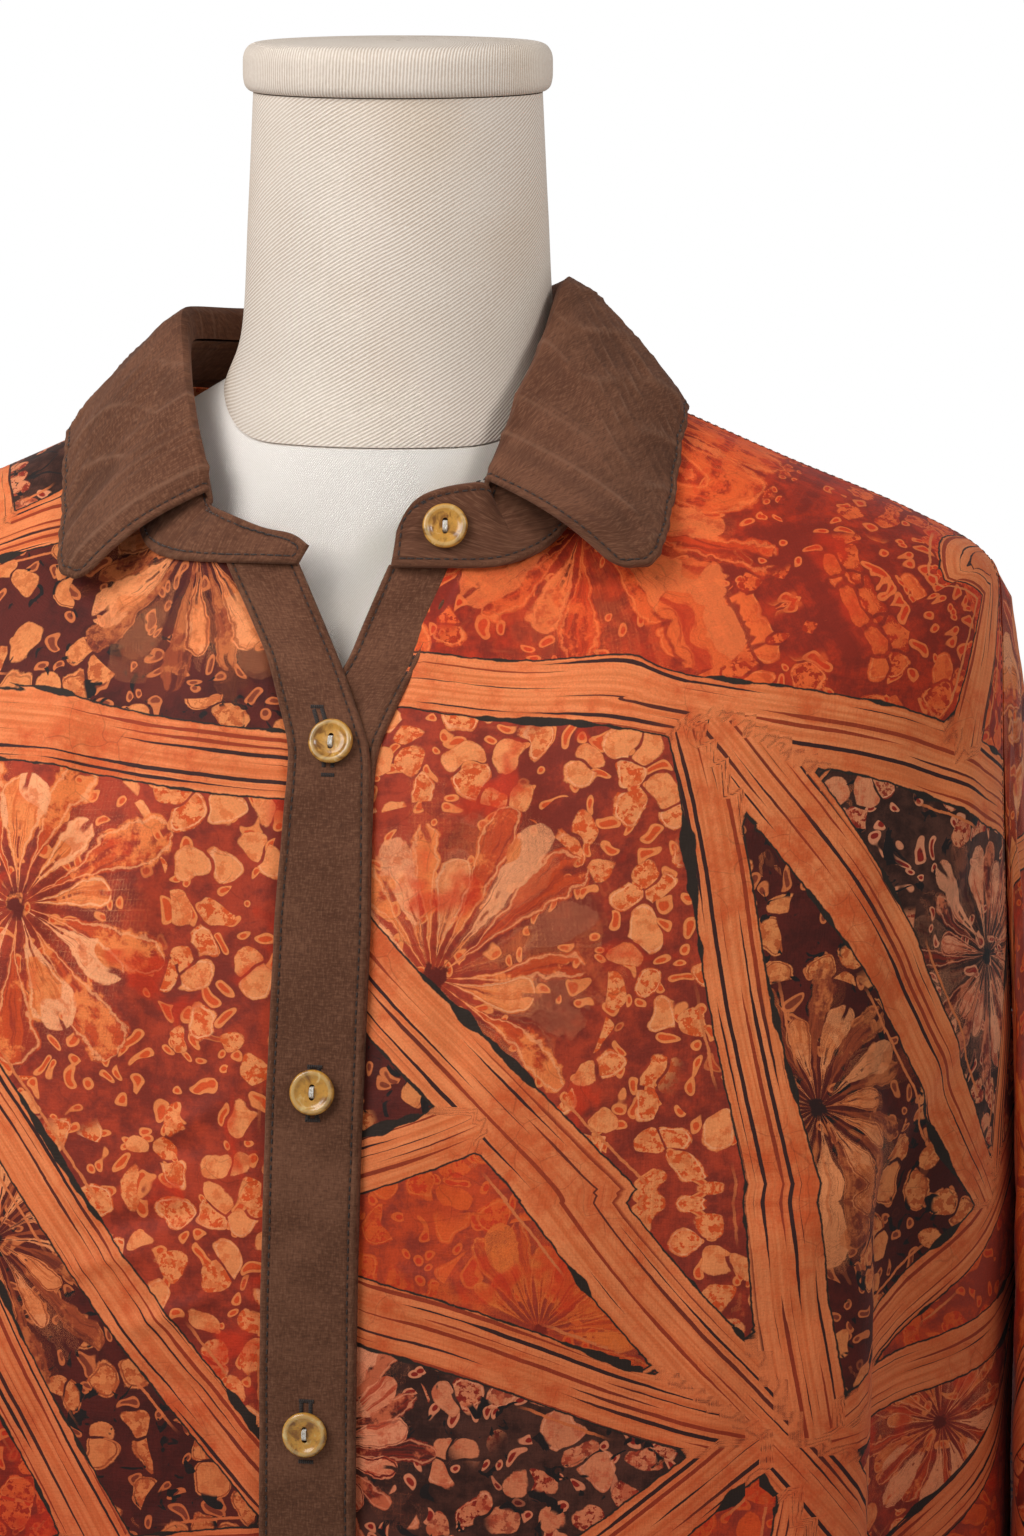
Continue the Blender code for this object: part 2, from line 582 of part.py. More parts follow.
def over_shirt(place, lift):
    """The point of the shirt's shoulders that lies under or over each plan position, moved out by lift."""
    levels = np.linspace(SHOULDER_END - 1.5, SHIRT.top, 160)
    shifts = smooth_rows(SHIRT.values, levels)[:, -1]
    found = []
    for x, y in place:
        turn = np.arctan2(x - shifts, -y)
        ring = SHIRT.point(turn, levels)
        beyond = np.hypot(x - shifts, y) - np.hypot(ring[:, 0] - shifts, ring[:, 1])
        level = np.interp(0.0, beyond, levels)
        found.append((np.interp(level, levels, turn), level))
    turn, level = np.array(found).T
    return shirt_point(turn, level, np.full(turn.shape, lift))


def collar_rows():
    """The collar's table rows from the wearer's right front, round the back, to the left front.

    The last column is how far the stand's upper seam lies under the fold.
    """
    right = np.array(COLLAR_RIGHT)[::-1].copy()
    right[:, 0] += 360
    whole = np.vstack([right[:-1], COLLAR_LEFT[0], COLLAR_LEFT[1:]])
    rows = smooth_rows(whole, np.linspace(0, len(whole) - 1, COLLAR_COLUMNS + 1))
    from_end = np.minimum(np.arange(COLLAR_COLUMNS + 1), np.arange(COLLAR_COLUMNS, -1, -1))
    below = STAND_BELOW_FOLD * (STAND_AT_ENDS + (1 - STAND_AT_ENDS) * smooth(from_end / STAND_SETTLES))
    return np.column_stack([rows, below])


def towards_neck(fold):
    """The level direction from each point of the fold to the middle of the neck opening."""
    inward = (SHIRT_RINGS[-1][-1], 0.0, 0.0) - fold
    inward[:, 2] = 0.0
    return inward / np.linalg.norm(inward, axis=-1, keepdims=True)


def build_fall(brown):
    """The fall starts at the stand's upper seam, turns over the fold and lies down on the shirt."""
    rows = collar_rows()
    fold, edge, down = rows[:, 1:4], rows[:, 4:6], rows[:, 6:7] * (0, 0, -1)
    inward = towards_neck(fold)
    lines = [
        fold + inward * 0.0012 + down + (0, 0, GAP),
        fold + inward * 0.0011 + down * 0.45,
        fold + inward * 0.0007 + down * 0.12,
        fold,
    ]
    lower = over_shirt(edge, CLOTH + FALL_LIFT)
    outward = (0, 0, 0.8) - inward * 0.6
    for part in FALL_PARTS:
        lines.append(fold + (lower - fold) * part + outward * FALL_BULGE * math.sin(math.pi * part))
    under = np.array(lines)
    wall("collar_fall", under, under + grid_normals(under) * BAND, brown)


def stand_grid():
    """The stand's inner face, from the wearer's right front end round the back to the left one."""
    rows = collar_rows()
    fold, down = rows[:, 1:4], rows[:, 6:7] * (0, 0, -1)
    top = fold + towards_neck(fold) * 0.0028 + down - (0, 0, STAND_CLEAR)
    right = np.array(TAB_RIGHT)[::-1].copy()
    right[:, 0] += 360
    turns = np.radians(np.concatenate([right[:, 0], rows[:, 0], np.array(TAB_LEFT)[:, 0]]))
    top = np.vstack([right[:, 1:], top, np.array(TAB_LEFT)[:, 1:]])
    bottom = seam_point(turns, STAND_LIFT)
    share = np.array(STAND_PARTS)[:, None, None]
    return bottom + (top - bottom) * share


def build_stand(brown):
    """The stand rises from the neckline seam; its front ends reach past the fall as rounded tabs."""
    inner = stand_grid()
    wall("collar_stand", inner, inner - grid_normals(inner) * BAND, brown)


# ------------------------------------------------------------------ the buttons


def build_button(name, place, facing, horn):
    """A round dished button whose back lies on place and whose face looks along facing."""
    profile = [
        (BUTTON_RADIUS * 0.72, 0.0),
        (BUTTON_RADIUS * 0.97, BUTTON_THICK * 0.35),
        (BUTTON_RADIUS, BUTTON_THICK * 0.65),
        (BUTTON_RADIUS * 0.90, BUTTON_THICK),
        (BUTTON_RADIUS * 0.74, BUTTON_THICK * 0.95),
        (BUTTON_RADIUS * 0.60, BUTTON_THICK * 0.72),
    ]
    made = lathe(name, circle_rings(profile, BUTTON_SIDES), horn)
    turn = Vector((0, 0, 1)).rotation_difference(Vector(facing)).to_matrix().to_4x4()
    made.matrix_world = Matrix.Translation(Vector(place)) @ turn


def build_buttons(horn):
    for count in range(PLACKET_BUTTONS):
        level = SHIRT.level_at_height(FIRST_BUTTON - count * BUTTON_PITCH)
        facing = SHIRT.normal(0.0, level)
        place = shirt_point(0.0, level, BAND + GAP)
        build_button(f"button_{count + 1}", place, facing, horn)
    inner = stand_grid()
    outward = -grid_normals(inner)
    column = inner.shape[1] - STAND_BUTTON_COLUMN
    facing = outward[1:3, column].mean(axis=0)
    place = (inner + outward * BAND)[1:3, column].mean(axis=0) + facing * GAP
    build_button("button_stand", place, facing, horn)


# ------------------------------------------------------------------ the whole part


def build():
    for old in list(bpy.data.objects):
        bpy.data.objects.remove(old)
    batik = make_material("batik_cotton", (0.62, 0.16, 0.05), 0.75)
    brown = make_material("brown_cotton", (0.12, 0.055, 0.035), 0.85)
    linen = make_material("linen_twill", (0.78, 0.72, 0.64), 0.85)
    steel = make_material("painted_steel", (0.75, 0.73, 0.70), 0.45)
    horn = make_material("horn_button", (0.60, 0.42, 0.16), 0.30)
    build_form(linen, steel)
    build_front("front_right", -1, batik)
    build_front("front_left", 1, batik)
    build_back(batik)
    build_plackets(brown)
    build_sleeve("sleeve_left", 1, batik)
    build_sleeve("sleeve_right", -1, batik)
    build_stand(brown)
    build_fall(brown)
    build_buttons(horn)


build()
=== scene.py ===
# %% [markdown]
# # A batik shirt on its dress form
#
# The shirt hangs on a limbless dress form: printed cotton fronts, back and sleeves, and plain brown
# cotton for the collar and the button bands. The solid model already holds each piece's true place and
# size. This lesson gives every piece its cloth: thin, creased, stitched and printed.

# %% Load the solid model
import json
import math

import bpy
import numpy as np
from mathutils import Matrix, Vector

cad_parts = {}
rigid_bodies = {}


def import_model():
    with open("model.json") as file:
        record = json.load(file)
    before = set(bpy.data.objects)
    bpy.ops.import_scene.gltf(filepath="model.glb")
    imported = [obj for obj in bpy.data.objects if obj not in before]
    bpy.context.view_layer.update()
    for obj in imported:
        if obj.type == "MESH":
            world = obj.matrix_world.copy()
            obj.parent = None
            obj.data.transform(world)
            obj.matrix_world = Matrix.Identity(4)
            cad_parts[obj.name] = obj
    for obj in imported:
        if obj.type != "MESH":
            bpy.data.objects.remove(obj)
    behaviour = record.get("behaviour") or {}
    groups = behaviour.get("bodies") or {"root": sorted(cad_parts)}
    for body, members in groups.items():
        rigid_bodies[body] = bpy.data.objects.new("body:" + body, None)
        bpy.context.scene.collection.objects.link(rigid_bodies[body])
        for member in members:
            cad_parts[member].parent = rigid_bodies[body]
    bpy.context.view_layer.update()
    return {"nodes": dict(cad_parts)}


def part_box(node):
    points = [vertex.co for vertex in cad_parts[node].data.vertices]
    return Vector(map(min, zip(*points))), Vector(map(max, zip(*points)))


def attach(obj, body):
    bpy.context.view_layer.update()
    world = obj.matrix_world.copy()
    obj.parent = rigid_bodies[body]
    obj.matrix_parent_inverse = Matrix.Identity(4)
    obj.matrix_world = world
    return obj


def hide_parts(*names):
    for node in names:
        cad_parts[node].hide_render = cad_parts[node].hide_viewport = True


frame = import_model()

# %% [markdown]
# ## The shape of the shirt, as rings
#
# The solids were made from rings round the body: one table row for the hem, the waist, the chest and so
# on. A finer sheet that follows the same rows lands exactly on the solid. So the tables are repeated
# here, in metres. A point of the shirt has a turn round the body (0 at the centre front, 90 degrees at
# the wearer's left) and a level, counted in table rows.

# %% Sizes shared by all the pieces
CLOTH, BAND = 0.0012, 0.0016  # the solids' walls: printed cloth, and the folded brown bands
GAP = 0.0003  # between two layers of cloth
SHEER = 0.0005  # thickness of the finer printed sheet
SIDE, ARMHOLE_HALF = math.radians(94), math.radians(9)  # turn of the side seam; half the armhole's width


def table(text):
    """Rows of numbers, written as they would be on paper."""
    return np.array([line.split() for line in text.strip().splitlines()], float)


# height, half width, front and back depth, front and back squareness, front and back drop, shift.
# Rows: hem, seat, hip, waist, bust, underarm, chest, blade, four of the shoulder, its neck side, neckline
SHIRT_RINGS = table("""
0.150  .1980 .1430 .1240  2.5 2.4  0 0 0
0.250  .1975 .1415 .1220  2.5 2.4  0 0 0
0.360  .1970 .1395 .1180  2.5 2.4  0 0 0
0.460  .1975 .1365 .1110  2.5 2.4  0 0 0
0.560  .1990 .1330 .1040  2.6 2.4  0 0 0
0.620  .2010 .1270 .1015  2.7 2.5  0 0 0
0.695  .1985 .1140 .0975  2.8 2.5  .009 .006 0
0.750  .1965 .1035 .0930  2.6 2.4  .021 .016 0
0.785  .1940 .0955 .0885  2.5 2.3  .033 .022 0
.8045  .1885 .0895 .0855  2.4 2.2  .039 .026 0
.8185  .1640 .0840 .0810  2.4 2.2  .042 .024 0
.8345  .1250 .0790 .0740  2.6 2.2  .0475 .0185 -.001
.8500  .0890 .0750 .0655  3.2 2.2  .0530 .0135 -.002
.8570  .0715 .0715 .0590  4.2 2.2  .0495 .007 -.003
""")
UNDERARM, SHOULDER_END = 5.0, 9.0  # rows of this table, the hem being 0
DROP_FULL = 0.85  # a ring drops fully where it faces this much to the front or back
print("rings of the shirt:", len(SHIRT_RINGS))


# %% Read a table of rings at any level
def smooth(part):
    """Goes from 0 to 1 with soft ends."""
    part = np.clip(part, 0.0, 1.0)
    return part * part * (3 - 2 * part)


def unit(vectors):
    return vectors / np.linalg.norm(vectors, axis=-1, keepdims=True)


def smooth_rows(values, level):
    """The table's row at a level between two rows, on a curve that never swings past them."""
    steps = np.diff(values, axis=0)
    before, after = steps[:-1], steps[1:]
    least, mean = np.minimum(np.abs(before), np.abs(after)), np.abs(before + after) / 2
    slopes = np.where(before * after > 0, np.sign(before) * np.minimum(mean, 3 * least), 0.0)
    slopes = np.vstack([steps[:1], slopes, steps[-1:]])
    level = np.asarray(level, float)
    row = np.clip(np.floor(level).astype(int), 0, len(values) - 2)
    part = (level - row)[..., None]
    bend = slopes[row] * part * (1 - part) ** 2 - slopes[row + 1] * part * part * (1 - part)
    return values[row] + (values[row + 1] - values[row]) * part * part * (3 - 2 * part) + bend


class Rings:
    """A body through a table of rings. A ring is a squared ellipse whose front and back may differ."""

    def __init__(self, rows):
        self.rows, self.top = rows, len(rows) - 1.0

    def point(self, turn, level):
        turn, level = np.broadcast_arrays(np.asarray(turn, float), np.asarray(level, float))
        height, half, *pairs, shift = np.moveaxis(smooth_rows(self.rows, level), -1, 0)
        across, along = np.sin(turn), np.cos(turn)
        depth, square, drop = (np.where(along > 0, *pairs[i : i + 2]) for i in (0, 2, 4))
        radius = (np.abs(across / half) ** square + np.abs(along / depth) ** square) ** (-1 / square)
        drop = drop * smooth(np.abs(along) / DROP_FULL)
        return np.stack([shift + radius * across, -radius * along, height - drop], -1)

    def normal(self, turn, level, small=1e-3):
        turn, level = np.broadcast_arrays(np.asarray(turn, float), np.asarray(level, float))
        around = self.point(turn + small, level) - self.point(turn - small, level)
        upward = self.point(turn, level + small) - self.point(turn, level - small)
        return unit(np.cross(around, upward))

    def level_at_height(self, height, turn=0.0):
        levels = np.linspace(0, self.top, 2000)
        return np.interp(height, self.point(turn, levels)[:, 2], levels)


SHIRT = Rings(SHIRT_RINGS)
armhole_ends = SHIRT.point(SIDE, [UNDERARM, SHOULDER_END])[:, 2]
ARMHOLE_MIDDLE, ARMHOLE_TALL = armhole_ends.mean(), np.ptp(armhole_ends) / 2
print("armhole height", round(2 * ARMHOLE_TALL, 4))

# %% [markdown]
# ## Creases
#
# Cloth that hangs from the shoulders shows a few large folds, which are in the solid already, and many
# soft creases: drags from the armhole towards the bust, slack beside the button bands, and short ones
# where the cloth rests on the shoulder. A simulation would put them in places of its own choosing. Here
# each crease is a row of a table, so it stays where a hand would press it, uneven in length and depth.

# %% Creases of the body, listed one by one
FOLD_ARC = 0.165  # a typical radius: turns times this are metres round the body
# turn and height at both ends, a bow to one side, half width, rise
CREASES = table("""
 79 .690  40 .585  .010 .0085  .0016
 76 .668  46 .560  .008 .0075 -.0014
 82 .735  52 .650  .008 .0070 -.0010
 80 .770  63 .665  .005 .0080  .0014
 74 .785  69 .700  .003 .0060 -.0009
 33 .775  30 .640 -.004 .0100  .0010
 20 .735  17 .560  .003 .0090 -.0009
 47 .640  43 .500  .004 .0095  .0016
 50 .520  47 .330  .005 .0085 -.0014
 11 .640  24 .612  .002 .0032  .0008
 11 .584  27 .570 -.002 .0034 -.0009
 11 .598  22 .590  .001 .0028  .0008
-78 .680 -44 .600 -.009 .0080  .0015
-80 .720 -57 .640 -.006 .0070 -.0011
-77 .760 -66 .670 -.004 .0075  .0012
-48 .790 -43 .650  .006 .0090  .0016
-41 .770 -37 .630  .004 .0070 -.0011
-29 .760 -25 .600 -.003 .0085  .0010
-11 .650 -29 .628  .002 .0034  .0010
-11 .614 -33 .602 -.002 .0034 -.0012
-11 .590 -28 .574  .002 .0030  .0012
-11 .556 -26 .566  .002 .0034 -.0010
-39 .590 -36 .430 -.004 .0090  .0013
-11 .668 -22 .664  .001 .0028  .0008
-14 .632 -24 .636  .002 .0026 -.0008
-20 .600 -34 .588 -.002 .0030  .0009
-11 .520 -24 .512  .001 .0034  .0009
 11 .700  20 .694  .001 .0028  .0006
 11 .535  22 .526  .001 .0030  .0008
 64 .740  60 .600  .004 .0055  .0010
-62 .730 -58 .610 -.004 .0055  .0010
-60 .500 -57 .320 -.004 .0090 -.0013
 61 .740  57 .150  0    .0060  .0020
 65 .740  61 .150  0    .0050 -.0024
-62 .720 -57 .170  0    .0060  .0016
-66 .720 -61 .170  0    .0050 -.0020
 91 .640  90 .150  0    .0200  .0009
-91 .640 -90 .150  0    .0200  .0009
102 .690 132 .610  .008 .0080  .0015
101 .735 125 .660  .006 .0070 -.0011
108 .560 112 .400  .004 .0085 -.0012
136 .600 138 .420  .004 .0090  .0014
150 .780 155 .660 -.004 .0080  .0009
170 .790 172 .620  .003 .0100 -.0009
190 .560 189 .350  .003 .0090  .0012
207 .780 204 .650  .004 .0080  .0010
226 .600 224 .430 -.004 .0090 -.0014
240 .720 214 .640 -.007 .0075  .0014
244 .560 242 .380 -.004 .0080  .0012
""")


def crease_height(turn, height):
    """How far the creases lift the cloth. Each fades towards its ends and is wider at its lower one."""
    total = np.zeros(turn.shape)
    for turn_a, height_a, turn_b, height_b, bow, width, rise in CREASES:
        start = np.array([math.radians(turn_a) * FOLD_ARC, height_a])
        way = np.array([math.radians(turn_b) * FOLD_ARC, height_b]) - start
        length, middle = np.linalg.norm(way), math.radians(turn_a + turn_b) / 2
        around = (turn - middle + math.pi) % (2 * math.pi) - math.pi + middle
        x, z = around * FOLD_ARC - start[0], height - start[1]
        part = (x * way[0] + z * way[1]) / length**2
        away = (x * way[1] - z * way[0]) / length + bow * 4 * part * (1 - part)
        ends = smooth(part / 0.3) * smooth((1 - part) / 0.45)
        total += 1.5 * rise * np.exp(-((away / (width * (0.75 + 0.5 * part))) ** 2)) * ends
    return total


print("creases placed by hand:", len(CREASES))

# %% Large folds, which the solid has too, and a slow unevenness
HEM = SHIRT_RINGS[0, 0]
# start and full height, turn at the top and at the hem, half width, how far it stands out
FOLDS = table("""
.690 .590  57  54  .018  .0100
.690 .590  68  65  .016 -.0120
.620 .480  80  78  .016  .0040
.560 .350  28  24  .030  .0045
.480 .250  39  37  .020 -.0060
.680 .560 -58 -53  .020  .0075
.680 .560 -70 -67  .018 -.0090
.540 .330 -33 -30  .028  .0045
.480 .260 -44 -41  .020 -.0055
.640 .420 113 116  .022  .0060
.660 .450 128 131  .020 -.0060
.660 .420 146 146  .026  .0070
.600 .400 163 162  .022 -.0055
.620 .380 181 180  .026  .0060
.640 .420 198 199  .022 -.0060
.680 .430 217 215  .026  .0075
.640 .420 234 232  .020 -.0055
.620 .400 249 247  .020  .0055
""")


def fold_height(turn, height):
    """How far the large folds lift the cloth. They start softly and run down to the hem."""
    total = np.zeros(turn.shape)
    for start, full, turn_top, turn_hem, width, rise in FOLDS:
        down = np.clip((start - height) / (start - HEM), 0, 1)
        line = np.radians(turn_top + (turn_hem - turn_top) * down)
        away = (turn - line + math.pi) % (2 * math.pi) - math.pi
        total += rise * np.exp(-((away * FOLD_ARC / width) ** 2)) * smooth((start - height) / (start - full))
    return total


def slack(turn, height):
    """A slow, shallow unevenness, as no hanging cloth is perfectly smooth."""
    s, h = turn * FOLD_ARC, height
    waves = np.sin(61 * s + 23 * h + 1.0) + np.sin(-38 * s + 47 * h + 2.2)
    return 0.00035 * (waves + 0.7 * np.sin(97 * s - 31 * h) + 0.5 * np.sin(20 * s + 118 * h + 0.6))


print("large folds:", len(FOLDS))


# %% A point of the shirt
SLIPPED = 0.0060  # how far the wearer's right shoulder has slipped down


def shirt_point(turn, level, lift=0.0, creased=None):
    """A point of the shirt: lift is measured outwards from the solid's inner face."""
    base = SHIRT.point(turn, level)
    turn, height = np.broadcast_to(turn, base.shape[:-1]), base[..., 2]
    out = fold_height(turn, height) + lift
    if creased is not None:
        out = out + creased * (crease_height(turn, height) + slack(turn, height))
    point = base + SHIRT.normal(turn, level) * out[..., None]
    beyond = smooth((-base[..., 0] - 0.045) / 0.040) * (1 - smooth((-base[..., 0] - 0.150) / 0.035))
    point[..., 2] -= SLIPPED * beyond * smooth((level - UNDERARM) / (SHOULDER_END - UNDERARM))
    return point


print("highest point of the centre front:", shirt_point(0.0, SHIRT.top).round(4))

# %% [markdown]
# ## Sheets
#
# Every cloth piece is made the same way: a grid of points for its outer face, a second one just inside
# it, and a narrow rim between the two. The grid's own rows and columns also carry the numbers that the
# print needs, one value per point, so the pattern sits on the cloth and moves with it.


# %% Normals and faces of a grid of points
def grid_normals(points):
    out = np.cross(np.gradient(points, axis=1), np.gradient(points, axis=0))
    return out / np.maximum(np.linalg.norm(out, axis=-1, keepdims=True), 1e-12)


def grid_faces(rows, columns, offset=0):
    index = np.arange(rows * columns).reshape(rows, columns) + offset
    return np.stack([index[:-1, :-1], index[:-1, 1:], index[1:, 1:], index[1:, :-1]], -1).reshape(-1, 4)


def rim_faces(rows, columns):
    index = np.arange(rows * columns).reshape(rows, columns)
    ring = np.concatenate([index[0], index[1:, -1], index[-1, -2::-1], index[-2:0:-1, 0]])
    after, back = np.roll(ring, -1), rows * columns
    return np.stack([ring, ring + back, after + back, after], -1)


print("a grid of 3 by 4 points:", len(grid_faces(3, 4)), "faces, and", len(rim_faces(3, 4)), "in its rim")


# %% From a grid of points to a thin sheet
def link(name, data):
    """A new object in the scene."""
    made = bpy.data.objects.new(name, data)
    bpy.context.scene.collection.objects.link(made)
    return made


def make_mesh(name, points, faces, fields, material, sharp=50, replaces=None):
    """A mesh of four-sided faces that carries the fields its material reads."""
    data = bpy.data.meshes.new(name)
    faces = np.asarray(faces)
    data.vertices.add(len(points))
    data.vertices.foreach_set("co", np.asarray(points, np.float32).ravel())
    data.loops.add(faces.size)
    data.loops.foreach_set("vertex_index", faces.astype(np.int32).ravel())
    data.polygons.add(len(faces))
    data.polygons.foreach_set("loop_start", np.arange(0, faces.size, 4, dtype=np.int32))
    data.update(calc_edges=True)
    for field, values in fields.items():
        kept = data.attributes.new(field, "FLOAT_VECTOR", "POINT")
        kept.data.foreach_set("vector", np.asarray(values, np.float32).ravel())
    data.validate()
    data.shade_smooth()
    data.set_sharp_from_angle(angle=math.radians(sharp))
    data.materials.append(material)
    made = link(name, data)
    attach(made, "root")
    if replaces:
        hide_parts(replaces)
    return made


def make_sheet(name, outer, inner, fields, replaces, finish):
    """Two grids and the rim between them, in place of a piece of the solid model."""
    size = outer.shape[:2]
    points = np.concatenate([outer.reshape(-1, 3), inner.reshape(-1, 3)])
    back = grid_faces(*size, size[0] * size[1])[:, ::-1]
    faces = np.concatenate([grid_faces(*size), back, rim_faces(*size)])
    both = {key: np.concatenate([value.reshape(-1, 3)] * 2) for key, value in fields.items()}
    return make_mesh(name, points, faces, both, finish.material, replaces=replaces)


# %% Lengths and areas
def run_along(line):
    """How far each point is along a line of points."""
    return np.concatenate([[0.0], np.linalg.norm(np.diff(line, axis=0), axis=-1).cumsum()])


def sheet_area(points):
    across, upward = np.diff(points, axis=1)[:-1], np.diff(points, axis=0)[:, :-1]
    return float(np.linalg.norm(np.cross(across, upward), axis=-1).sum())


shirt_grid = shirt_point(np.linspace(0, 2 * math.pi, 60), np.linspace(0, SHIRT.top, 60)[:, None])
print("hem:", run_along(shirt_grid[0])[-1].round(3), "m round, body:", round(sheet_area(shirt_grid), 3), "m2")


# %% [markdown]
# ## Laying a panel flat
#
# A print is made on flat cloth, and then the shirt is cut from it. To know which bit of print lands
# where, each panel's grid is laid flat again, as a cutter's paper would be. The grid's threads act as
# springs that want to keep their length. A few hundred small moves let them settle in the plane.


# %% Lay a grid of points flat
def settle(flat, points, rounds):
    """Pulls neighbours and diagonal neighbours towards the distances they have on the body."""
    every, later, sooner = slice(None), slice(1, None), slice(None, -1)
    pairs = (
        ((every, later), (every, sooner), 1.0),
        ((later, every), (sooner, every), 1.0),
        ((later, later), (sooner, sooner), 0.5),
        ((later, sooner), (sooner, later), 0.5),
    )
    rests = [np.linalg.norm(points[a] - points[b], axis=-1) for a, b, _ in pairs]
    for _ in range(rounds):
        move = np.zeros_like(flat)
        for (a, b, weight), rest in zip(pairs, rests):
            gap = flat[a] - flat[b]
            length = np.maximum(np.linalg.norm(gap, axis=-1), 1e-9)
            pull = gap * (weight * (rest - length) / length)[..., None] * 0.16
            move[a] += pull
            move[b] -= pull
        flat = flat + move
    return flat


def lay_flat(points, start, coarse=(46, 22)):
    """Settles a few rows and columns, spreads their drift over the full grid, and settles that briefly."""
    rows, columns = points.shape[:2]
    sizes = zip((rows, columns), coarse)
    pick_r, pick_c = (np.unique(np.linspace(0, n - 1, k).astype(int)) for n, k in sizes)
    few = np.ix_(pick_r, pick_c)
    drift = settle(start[few], points[few], 900) - start[few]
    wide = np.array([[np.interp(np.arange(columns), pick_c, row[:, k]) for k in (0, 1)] for row in drift])
    every = np.arange(rows)
    full = np.array([[np.interp(every, pick_r, wide[:, k, c]) for c in range(columns)] for k in (0, 1)])
    return settle(start + full.transpose(2, 1, 0), points, 40)


def from_column(points, end=0):
    """Distance of each point from the first or last column of its row."""
    steps = np.linalg.norm(np.diff(points, axis=1), axis=-1)
    none = np.zeros((len(points), 1))
    return np.hstack([steps[:, ::-1].cumsum(1)[:, ::-1], none] if end else [none, steps.cumsum(1)])


def first_guess(points, column):
    """Width measured along each row, height measured up one column."""
    along = from_column(points)
    along = along - along[:, column : column + 1]
    return np.stack([along, np.broadcast_to(run_along(points[:, column])[:, None], along.shape)], -1)


turns, heights = np.linspace(0, math.pi / 2, 12), np.linspace(0, 1, 8)[:, None]
quarter = np.stack(np.broadcast_arrays(np.sin(turns), -np.cos(turns), heights), -1)
laid = lay_flat(quarter, first_guess(quarter, 0))
print("a quarter of a tube, 1 m in radius and length, lies flat at", np.ptp(laid, axis=(0, 1)).round(3))


# %% [markdown]
# ## The printed cloth
#
# Batik is drawn with hot wax on flat cloth and dyed in rounds. This cloth is divided by slanting bands
# into wedges and triangles. The bands stay the colour of the first, pale dye and are full of broken
# brush lines; each patch between them has its own dye, and in it grows a flower with pebble-like petals
# round it. The layout below is this lesson's own: a rectangle of cloth is cut again and again, each time
# from near a corner to a far side, with a seeded random generator, so it is the same in each run.
#
# Only where the patches and flowers lie is worked out here. Their lines and colours are painted later by
# the material, which is much finer than any mesh.


# %% Divide the cloth into patches
CLOTH_SIZE = (1.55, 1.75)
PATCH_AREA = 0.0170  # square metres of a middling patch


def sideways(way):
    return np.array([-way[1], way[0]])


def split_patch(corners, point, way):
    """The two parts of a patch, one on each side of a line."""
    side = (corners - point) @ sideways(way)
    parts = ([], [])
    for i, (corner, away) in enumerate(zip(corners, side)):
        parts[0 if away > 0 else 1].append(corner)
        after, away_after = corners[(i + 1) % len(corners)], side[(i + 1) % len(corners)]
        if (away > 0) != (away_after > 0):
            crossing = corner + (after - corner) * (away / (away - away_after))
            for part in parts:
                part.append(crossing)
    return [np.array(part) for part in parts if len(part) > 2]


def patch_area(corners):
    x, y = corners.T
    return abs(float(x @ np.roll(y, -1) - y @ np.roll(x, -1))) / 2


def roundness(corners):
    """Small for a thin sliver, about a half for a square."""
    return patch_area(corners) / np.linalg.norm(corners[:, None] - corners[None], axis=-1).max() ** 2


def best_cut(random, corners):
    """Of a few lines from near a corner to a far side, the one that leaves no sliver."""
    best = (-1.0, None, None)
    for _ in range(16):
        start = random.integers(len(corners))
        far = (start + random.integers(1, len(corners) - 1)) % len(corners)
        end = corners[far] + (corners[(far + 1) % len(corners)] - corners[far]) * random.uniform(0.3, 0.7)
        way = unit(end - corners[start] - random.uniform(-0.015, 0.015, 2))
        parts = split_patch(corners, end, way)
        worth = min(map(roundness, parts)) * random.uniform(0.8, 1.0) if len(parts) == 2 else -1.0
        if worth > best[0]:
            best = (worth, end, way)
    return best[1:]


def divide(random, size, whole):
    """Cuts the cloth into patches. Each cut keeps its line, so both patches beside it share a band."""
    width, height = size
    waiting, cuts, done = [(np.array([(0, 0), (width, 0), size, (0, height)], float), ())], [], []
    while waiting:
        corners, lines = waiting.pop()
        if patch_area(corners) < whole * random.uniform(0.75, 1.6) and len(lines) > 2:
            done.append((corners, lines))
            continue
        point, way = best_cut(random, corners)
        cuts.append((point, way, random.uniform(0.0070, 0.0110), random.uniform(-0.010, 0.010)))
        waiting += [(part, lines + (len(cuts) - 1,)) for part in split_patch(corners, point, way)]
    return done, cuts


random = np.random.default_rng(11)
patches, cuts = divide(random, CLOTH_SIZE, PATCH_AREA)
print("patches:", len(patches), "bands:", len(cuts))

# %% [markdown]
# Each patch gets a dye and one flower. The dyes are numbered 0 maroon, 1 charcoal, 2 orange, 3 red and
# 4 rose. A flower sits near the middle of its patch and may reach a little under the bands.

# %% Give each patch its dye and its flower
DYES = (2, 0, 4, 2, 3, 0, 4, 2, 1, 0, 3, 4)
BY_HAND = {12: 4, 13: 0, 17: 0, 69: 3, 102: 2, 103: 0, 105: 1, 116: 4}  # the patches beside the opening
dye_of, flower_of = [], []
for number, (corners, lines) in enumerate(patches):
    middle, wide = corners.mean(axis=0), math.sqrt(patch_area(corners))
    near = [dye_of[other] for other in range(number) if np.linalg.norm(flower_of[other][:2] - middle) < 0.15]
    choice = [dye for dye in np.roll(DYES, -number) if dye not in near[-4:]] or [2]
    dye_of.append(BY_HAND.get(number, choice[0]))
    radius = min(0.056, 0.40 * wide) * random.uniform(0.9, 1.15)
    off = random.uniform(-0.13, 0.13, 2) * wide
    flower_of.append(np.array([*(middle + off), radius, random.integers(9, 15), random.uniform(0, 6.28)]))
